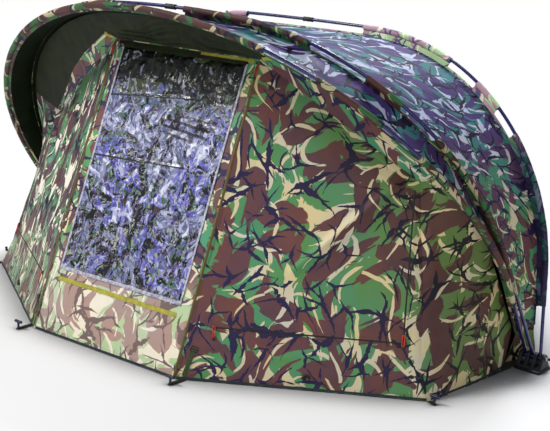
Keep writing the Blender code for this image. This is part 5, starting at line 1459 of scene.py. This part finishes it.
TEETH_PITCH, STITCH_PITCH = 0.0034, 0.0072
HEM_STITCH, HEM_EDGE, TAPE_UP = 0.023, 0.0085, 0.263
DOOR_SLIDER_DROP = 0.036
stitch_lines = {"mid_rib": [], "door": [], "left_flap": [], "right_flap": []}
for word, side in (("left", -1), ("right", 1)):
    def side_read(verts, side=side):
        """Where points lie on the side panel's printed cloth."""
        s, t = SIDE.read(np.asarray(verts) * (1 if side > 0 else MIRROR))
        return printed(s, t, side)

    # door zip over the folded seam
    path = straight(DOOR_FOOT + SEAM_WAY * 0.012, DOOR_TOP - SEAM_WAY * 0.012, 120) + SEAM_OUT * SEAM_BASE
    out = hand(SEAM_OUT, side)
    drop = math.tan(FOLD)
    front_cloth = right_wall if side > 0 else left_wall
    border = ribbon(f"door_zip_border_{word}", hand(path, side), out, 0.028, [front_cloth], 0.0010, drop=drop,
                    read=side_read)
    show(border, "door", f"door_zip_{word}", slot="zip")
    run = np.linspace(0, SEAM_LONG - 0.024, 120)
    waver = 0.0004 * noise(run / 0.05, run * 0, 141)
    raised = path + SEAM_OUT * 0.0008 + np.cross(SEAM_WAY, SEAM_OUT) * waver[:, None]
    cord = ribbon(f"door_zip_tape_{word}", hand(raised, side), out, 0.0125, [zip_cloth], 0.0006, dome=0.0018,
                  drop=drop * 0.5)
    show(cord, "door", f"door_zip_{word}", slot="zip")
    tape_crest = hand(raised + SEAM_OUT * 0.0026, side)
    teeth = rows(f"door_zip_teeth_{word}", [(tape_crest, out)], TEETH_PITCH, (0.0020, 0.0052, 0.0013), coil)
    show(teeth, "door", f"door_zip_{word}", slot="zip")
    centre = DOOR_FOOT + SEAM_WAY * (SEAM_LONG - DOOR_SLIDER_DROP) + SEAM_OUT * (SEAM_BASE + 0.0010 + 0.0024)
    name = "door_slider_" + word
    slider(name, word + "_door_slider", name, centre, SEAM_WAY, SEAM_OUT, -DOOR.up, pull_red, side)

    # flap zips, thin and dark on the camouflage tape
    low_in, low_out, high_out = [SIDE.place(*c) for c in FLAP[:3]]
    for kind, start, end, low, high in (("upright", low_out, high_out, 0.0143, 0.012),
                                        ("level", low_in, low_out, 0.012, 0.0)):
        way = unit(end - start)
        path = straight(start + way * low, end - way * high, 80) + SIDE.out * FLAT_BASE
        name = f"flap_zip_{kind}_{word}"
        out = hand(SIDE.out, side)
        border = ribbon(name + "_tape", hand(path, side), out, 0.028, [front_cloth], 0.0009, read=side_read)
        show(border, word + "_flap", name, slot="zip")
        tape_face = hand(path + SIDE.out * 0.0007, side)
        spine = ribbon(name + "_coil", tape_face, out, 0.0068, [dark_zip], 0.0005, dome=0.0012)
        show(spine, word + "_flap", name, slot="zip")
        spine_face = hand(path + SIDE.out * 0.0024, side)
        teeth = rows(name + "_teeth", [(spine_face, out)], TEETH_PITCH, (0.0018, 0.0040, 0.0010), dark_coil)
        show(teeth, word + "_flap", name, slot="zip")
        run = 0.030 if kind == "upright" else 0.015
        centre = start + way * run + SIDE.out * (FLAT_BASE + 0.0032)
        name = f"flap_slider_{kind}_{word}"
        slider(name, f"{word}_{kind}_slider", name, centre, way, SIDE.out, -SIDE.up, pull_red, side)
        for shift in (-0.0115, 0.0115):
            edge = path + np.cross(way, SIDE.out) * shift + SIDE.out * 0.0011
            stitch_lines[word + "_flap"].append((hand(edge, side), out))

    # rows of stitches
    seam_side = np.cross(SEAM_WAY, SEAM_OUT)
    path = straight(DOOR_FOOT + SEAM_WAY * 0.014, DOOR_TOP - SEAM_WAY * 0.014, 60)
    for shift in (-0.0118, 0.0118):
        edge = path + SEAM_OUT * (SEAM_BASE + 0.0011 - 0.0118 * drop) + seam_side * shift
        stitch_lines["door"].append((hand(edge, side), hand(SEAM_OUT, side)))
    hem_line = np.linspace(0.03, CORNER_ALONG - 0.045, 200)
    row = np.full(200, HEM_STITCH)
    lift = side_relief(hem_line, row, side) * np.clip((row - hem_up) * 60, 0, 1) * skirt_share(row)
    stitch_lines["mid_rib"].append((on_side(hem_line, row, lift + 0.0010, side), hand(SIDE.out, side)))
    ends = np.linspace(0.012, CORNER_ALONG - 0.012, 220)
    lift = np.interp(ends, hem_line, lift) * 0.5 + FLAT_BASE + 0.0004
    row = np.full(220, HEM_EDGE)
    path = hand(SIDE.place(ends, row, lift) + rounding(seam_along(HEM_EDGE) - ends, row), side)
    edging = ribbon("hem_edging_" + word, path, hand(SIDE.out, side), 0.010, [hem_tape], 0.0008)
    show(edging, "mid_rib", slot="wall_cloth")
    wing_line, face = wing_hems[word]
    path = hand((wing_line + face * (FLAT_BASE + 0.0004))[1:-3], side)
    edging = ribbon("wing_hem_edging_" + word, path, hand(face[1:-3], side), 0.010, [hem_tape], 0.0008)
    show(edging, "mid_rib", slot="wall_cloth")

x = np.linspace(-0.40, 0.40, 160)
row = np.full(160, HEM_STITCH)
lift = door_relief(x, row) * np.clip((row - door_hem) / (HOLE_LOW - door_hem) * 8, 0, 1)
stitch_lines["door"].append((DOOR.place(x, row, lift + 0.0011), DOOR.out))
ends = np.linspace(-0.427, 0.427, 170)
path = DOOR.place(ends, np.full(170, HEM_EDGE), np.interp(ends, x, lift) * 0.5 + FLAT_BASE + 0.0004)
edging = ribbon("door_hem_edging", path, DOOR.out, 0.010, [hem_tape], 0.0008)
show(edging, "door", slot="wall_cloth")
for body, lines in stitch_lines.items():
    piece = rows("stitches_" + body, lines, STITCH_PITCH, (0.0042, 0.0011, 0.0009), thread)
    show(piece, body, slot="wall_cloth")

# tape under the window and across the header's lower edge
for name, low, high, finish in (("door_top_binding", -0.405, 0.10, hood_lining),
                                ("door_top_tape", 0.10, 0.405, tape)):
    x = np.linspace(low, high, 60)
    seam = DOOR.place(x, x * 0 + DOOR_HEIGHT - 0.0145, FLAT_BASE + 0.0012)
    show(ribbon(name, seam, DOOR.out, 0.017, [finish], 0.0010), "door", "door_tape", slot="tape")
for word, side in (("left", -1), ("right", 1)):
    first = places[3] if side < 0 else places[2]
    column = header_grid(first - 0.02, first + 0.02, 3, 40, level(0.06), level(0.28))[0][:, 1]
    away = unit(np.cross(np.gradient(column, axis=0), (1.0, 0.0, 0.0)))
    away = away * np.where(away[:, 1:2] > 0, -1, 1)
    strip = ribbon("corner_binding_" + word, column + away * 0.0014, away, 0.020, [tape], 0.0012)
    show(strip, "mid_rib", "header_panel", slot="lining")
x, row = np.linspace(-0.365, 0.365, 90), np.full(90, TAPE_UP)
part = (row - door_hem) / (HOLE_LOW - door_hem)
free = np.clip(8 * part * (1 - part), 0, 1)
path = DOOR.place(x, row, door_relief(x, row) * free + FLAT_BASE + 0.0012)
strip = ribbon("door_tape_strip", path, DOOR.out, 0.020, [tape], 0.0010)
show(strip, "door", "door_tape", slot="tape")

# hem strips of the clear cover

def cover_strip(name, corners, count, width, finish):
    """One hem strip of the clear cover, riding on its creases."""
    (x0, t0), (x1, t1) = corners
    x, t = np.linspace(x0, x1, count), np.linspace(t0, t1, count)
    path = DOOR.place(x, t, cover_relief(x, t) + 0.0007)
    piece = ribbon(name, path, DOOR.out, width, [finish], 0.0009, dome=0.0004)
    show(piece, "door", "window_cover", slot="window")


cover_strip("window_hem_left", ((-0.371, 0.312), (-0.371, 1.400)), 160, 0.010, cover_hem_glints)
cover_strip("window_hem_right", ((0.371, 0.312), (0.371, 1.400)), 160, 0.010, cover_hem_glints)
cover_strip("window_hem_low", ((-0.374, 0.318), (0.374, 0.318)), 110, 0.020, cover_hem_glints)
cover_strip("window_hem_top", ((-0.374, 1.401), (0.374, 1.401)), 110, 0.020, hood_lining)


# hubs, pegs, loops and straps

def dressed(name, node_name, body, finish, soften, slot, fold=False, sharp=30):
    """A CAD solid with its edges eased, in its own finish."""
    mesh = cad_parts[node_name].data.copy()
    clean = bmesh.new()
    clean.from_mesh(mesh)
    bmesh.ops.remove_doubles(clean, verts=clean.verts[:], dist=1e-5)
    bmesh.ops.dissolve_limit(clean, angle_limit=math.radians(1), verts=clean.verts[:], edges=clean.edges[:])
    clean.to_mesh(mesh)
    clean.free()
    raw = bpy.data.objects.new(name + "_raw", mesh)
    bpy.context.scene.collection.objects.link(raw)
    ease = raw.modifiers.new("eased edges", "BEVEL")
    ease.width, ease.segments, ease.limit_method, ease.angle_limit = soften, 2, "ANGLE", math.radians(30)
    bpy.context.view_layer.update()
    made = bpy.data.meshes.new_from_object(raw.evaluated_get(bpy.context.evaluated_depsgraph_get()))
    bpy.data.objects.remove(raw)
    made.materials.clear()
    made.materials.append(finish)
    made.shade_smooth()
    made.set_sharp_from_angle(angle=math.radians(sharp))
    piece = bpy.data.objects.new(name, made)
    bpy.context.scene.collection.objects.link(piece)
    return show(piece, body, node_name, slot=slot, fold=fold)


def peg(name, node_name):
    """Tee peg: shaft, collar and cross bar with rounded ends."""
    x, y = [float(a + b) / 2 for a, b in zip(*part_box(node_name))][:2]
    t = np.arange(16) * 2 * math.pi / 16
    profile = ((0.0048, 0.0), (0.0054, 0.0006), (0.0054, 0.0300), (0.0074, 0.0310), (0.0074, 0.0330),
               (0.0054, 0.0344), (0.0048, 0.0390))
    shaft = np.array([np.stack((x + r * np.cos(t), y + r * np.sin(t), np.full(16, h)), -1)
                      for r, h in profile])
    ends = ((-0.0225, 0.0028), (-0.0216, 0.0058), (-0.0190, 0.0074), (-0.004, 0.0066), (0.004, 0.0066),
            (0.0190, 0.0074), (0.0216, 0.0058), (0.0225, 0.0028))
    bar = np.array([np.stack((np.full(16, x + a), y + r * np.cos(t), 0.038 + r * np.sin(t)), -1)
                    for a, r in ends])
    piece = outward(build(name, *join([skin(shaft), skin(bar)]), [peg_metal], sharp=40))
    show(piece, "root", node_name, slot="peg", fold=False)


for word in ("left", "right"):
    dressed("hub_block_" + word, "hub_" + word, "root", moulding, 0.0012, "moulding")
    dressed("pivot_bolt_head_" + word, "pivot_bolt_" + word, "root", steel, 0.0008, "bolt")
    for kind in ("door", "corner", "rear", "hub"):
        peg(f"tee_peg_{kind}_{word}", f"peg_{kind}_{word}")
    for kind in ("door", "corner", "rear"):
        dressed(f"webbing_loop_{kind}_{word}", f"peg_loop_{kind}_{word}", "root", webbing, 0.0006, "webbing")

for word, side in (("left", -1), ("right", 1)):
    top, foot = np.array((0.082, 0.145)), np.array((0.044, 0.018))
    along = unit(top - foot)
    k = np.linspace(0, 1, 26)
    at = foot[None] * (1 - k[:, None]) + top[None] * k[:, None]
    slack = FLAT_BASE + 0.0012 + 0.0030 * np.sin(math.pi * k)
    path = on_side(at[:, 0], at[:, 1], slack, side)
    out = hand(SIDE.out, side)
    strap = ribbon("strap_webbing_" + word, path, out, 0.020, [ladder], 0.0018, dome=0.0002)
    show(strap, "mid_rib", "door_strap_" + word, slot="webbing")
    # three-bar slide
    mid = top - along * 0.011
    across = np.array((-along[1], along[0]))
    parts = []
    long, wide = 0.011, 0.015
    for a, b in (((-long, -wide), (long, -wide)), ((long, -wide), (long, wide)),
                 ((long, wide), (-long, wide)), ((-long, wide), (-long, -wide)), ((0.0, -wide), (0.0, wide))):
        start, end = [mid + along * p[0] + across * p[1] for p in (a, b)]
        rod = np.array([on_side(*(start * (1 - q) + end * q), FLAT_BASE + 0.0044, side)
                        for q in (-0.04, 0, 1, 1.04)])
        width = np.array((0.0011, 0.0018, 0.0018, 0.0011))
        parts.append(skin(swept(rod, circle(1.0, 10)[None] * width[:, None, None], up=np.tile(out, (4, 1)))))
    slide = outward(build("ladder_slide_" + word, *join(parts), [moulding], sharp=40))
    show(slide, "mid_rib", "door_strap_" + word, slot="webbing")
    # eyelet in the skirt and toggle at the corner
    (s0, s1), (t0, t1) = spot = np.array(((0.566, 1.045), (0.054, 0.094)))
    bulge = side_relief(spot[0], spot[1], side) * skirt_share(spot[1]) + 0.0012
    t = np.linspace(0, 2 * math.pi, 29)[:-1]
    profile = ((0.0190, -0.0010), (0.0195, 0.0030), (0.0180, 0.0052), (0.0140, 0.0060), (0.0100, 0.0046),
               (0.0088, 0.0020), (0.0040, 0.0012))
    rings = np.array([on_side(s0 + r * np.cos(t), t0 + r * 0.8 * np.sin(t), h + bulge[0], side)
                      for r, h in profile])
    eyelet = outward(build("skirt_eyelet_" + word, *skin(rings), [moulding], sharp=60))
    show(eyelet, "mid_rib", slot="wall_cloth")
    k = np.array((0, 0.03, 0.1, 0.5, 0.9, 0.97, 1.0))
    bar = on_side(s1 - 0.017 + 0.034 * k, t1 + 0.006 * k, 0.0070 + bulge[1], side)
    width = np.array((0.0030, 0.0068, 0.0080, 0.0060, 0.0080, 0.0068, 0.0030))
    solid = skin(swept(bar, circle(1.0, 12)[None] * width[:, None, None], up=np.tile(out, (7, 1))))
    toggle = outward(build("corner_toggle_" + word, *solid, [moulding], sharp=40))
    show(toggle, "mid_rib", slot="wall_cloth")

# groundsheet, laid flat with a few low creases
outline = np.array(((-1.300, 0.442), (-0.711, 1.360), (-0.350, 1.401),
                    (-0.090, 1.428), (0.100, 1.428), (1.196, 0.850)))
fore, aft = outline[0, 0], outline[-1, 0]
y, u = np.meshgrid(np.linspace(fore, aft, 90), np.linspace(-1, 1, 100), indexing="ij")
half = np.interp(y[:, 0], outline[:, 0], outline[:, 1])[:, None]
x = u * half
inside = np.clip(np.minimum(1 - np.abs(u), np.minimum(y - fore, aft - y) / 1.2) * 12, 0, 1)
rise = 0.0010 + inside * (0.0030 * (0.5 + noise(x / 0.35, y / 0.3, 151)) + crumple(x, y, 0.3, 0.003, 152))
grid = np.stack((x, y, rise), -1), np.stack((x, y), -1)
sheet = cloth("groundsheet_cloth", grid, [ground_cloth, ground_cloth], inside=(0.0, 0.0, -3.0),
              thickness=0.0018)
show(sheet, "root", "groundsheet", slot="groundsheet", fold=False)

# stage, light and camera

def stage():
    """Pale floor that fades to white and darkens near the tent as a painted contact shadow, a plain sky and three
    area lights.
    """
    scene = bpy.context.scene
    mesh = bpy.data.meshes.new("floor")
    size = 30.0
    corners = [(-size, -size, 0), (size, -size, 0), (size, size, 0), (-size, size, 0)]
    mesh.from_pydata(corners, [], [(0, 1, 2, 3)])
    floor = bpy.data.objects.new("floor", mesh)
    scene.collection.objects.link(floor)
    finish, g, shader = fresh("pale floor", Roughness=0.9, Specular_IOR_Level=0.1)
    at = g.add("ShaderNodeTexCoord").outputs["Object"]
    far = g.long(at)
    white = g.add("ShaderNodeEmission", {"Color": (1, 1, 1, 1), "Strength": 1.0})
    seen = g.add("ShaderNodeLightPath").outputs["Is Camera Ray"]
    # painted contact shadow: the floor's colour darkens with ambient occlusion near the tent, and open floor is
    # half whitened
    open_floor = g.add("ShaderNodeAmbientOcclusion", {"Distance": 0.30}, samples=12).outputs["AO"]
    tone = g.mix(g.step(open_floor, 0.72, 0.26), (0.20, 0.20, 0.21, 1), (0.93, 0.93, 0.935, 1))
    g.put(tone, shader.inputs["Base Color"])
    clear = g.times(g.step(open_floor, 0.86, 0.12), 0.5)
    share = g.times(g.math("MAXIMUM", g.step(far, 2.08, 0.50), clear), seen)
    blend = g.add("ShaderNodeMixShader", {0: share, 1: shader.outputs[0], 2: white.outputs[0]})
    out = [n for n in finish.node_tree.nodes if n.type == "OUTPUT_MATERIAL"][0]
    g.put(blend.outputs[0], out.inputs[0])
    mesh.materials.append(finish)

    world = bpy.data.worlds.new("sky")
    world.use_nodes = True
    g = Graph(world.node_tree)
    back = world.node_tree.nodes["Background"]
    path = g.add("ShaderNodeLightPath").outputs
    g.put(g.mix(path["Is Camera Ray"], (0.27, 0.28, 0.31, 1), (1, 1, 1, 1)), back.inputs["Color"])
    scene.world = world

    def area(name, place, target, size, power, colour=(1, 1, 1)):
        """A rectangular light aimed at a point."""
        light = bpy.data.lights.new(name, "AREA")
        light.energy, light.color, light.shape = power, colour, "RECTANGLE"
        light.size, light.size_y = size
        holder = bpy.data.objects.new(name, light)
        holder.location = place
        holder.rotation_euler = (Vector(target) - Vector(place)).to_track_quat("-Z", "Y").to_euler()
        scene.collection.objects.link(holder)

    area("key", (-2.9, -4.6, 5.4), (0, -0.7, 0.5), (2.4, 1.8), 350, (1.0, 0.98, 0.94))
    area("fill", (3.6, -5.4, 2.6), (0.4, -0.8, 0.4), (2.5, 2.0), 50)
    area("top", (-0.3, 2.3, 5.6), (0, 0.0, 0.6), (2.2, 1.6), 290, (0.94, 0.95, 1.0))
    scene.view_settings.view_transform = "Standard"


def camera():
    """The camera solved from the photograph."""
    yaw, pitch, roll = 0.630149701, 0.238542300, 0.0668263808
    look = np.array((-math.sin(yaw) * math.cos(pitch), math.cos(yaw) * math.cos(pitch), -math.sin(pitch)))
    right = np.array((math.cos(yaw), math.sin(yaw), 0.0))
    up = np.cross(right, look)
    right, up = math.cos(roll) * right + math.sin(roll) * up, -math.sin(roll) * right + math.cos(roll) * up
    data = bpy.data.cameras.new("camera")
    picture_width, focal_pixels = 550, 1186.538
    data.sensor_width, data.lens = 36.0, focal_pixels / picture_width * 36
    data.clip_end = 100.0
    holder = bpy.data.objects.new("camera", data)
    turn = Matrix(np.stack((right, up, -look), -1).tolist()).to_4x4()
    holder.matrix_world = Matrix.Translation((3.56612462, -4.92939250, 1.90986802)) @ turn
    bpy.context.scene.collection.objects.link(holder)
    bpy.context.scene.camera = holder


stage()
camera()
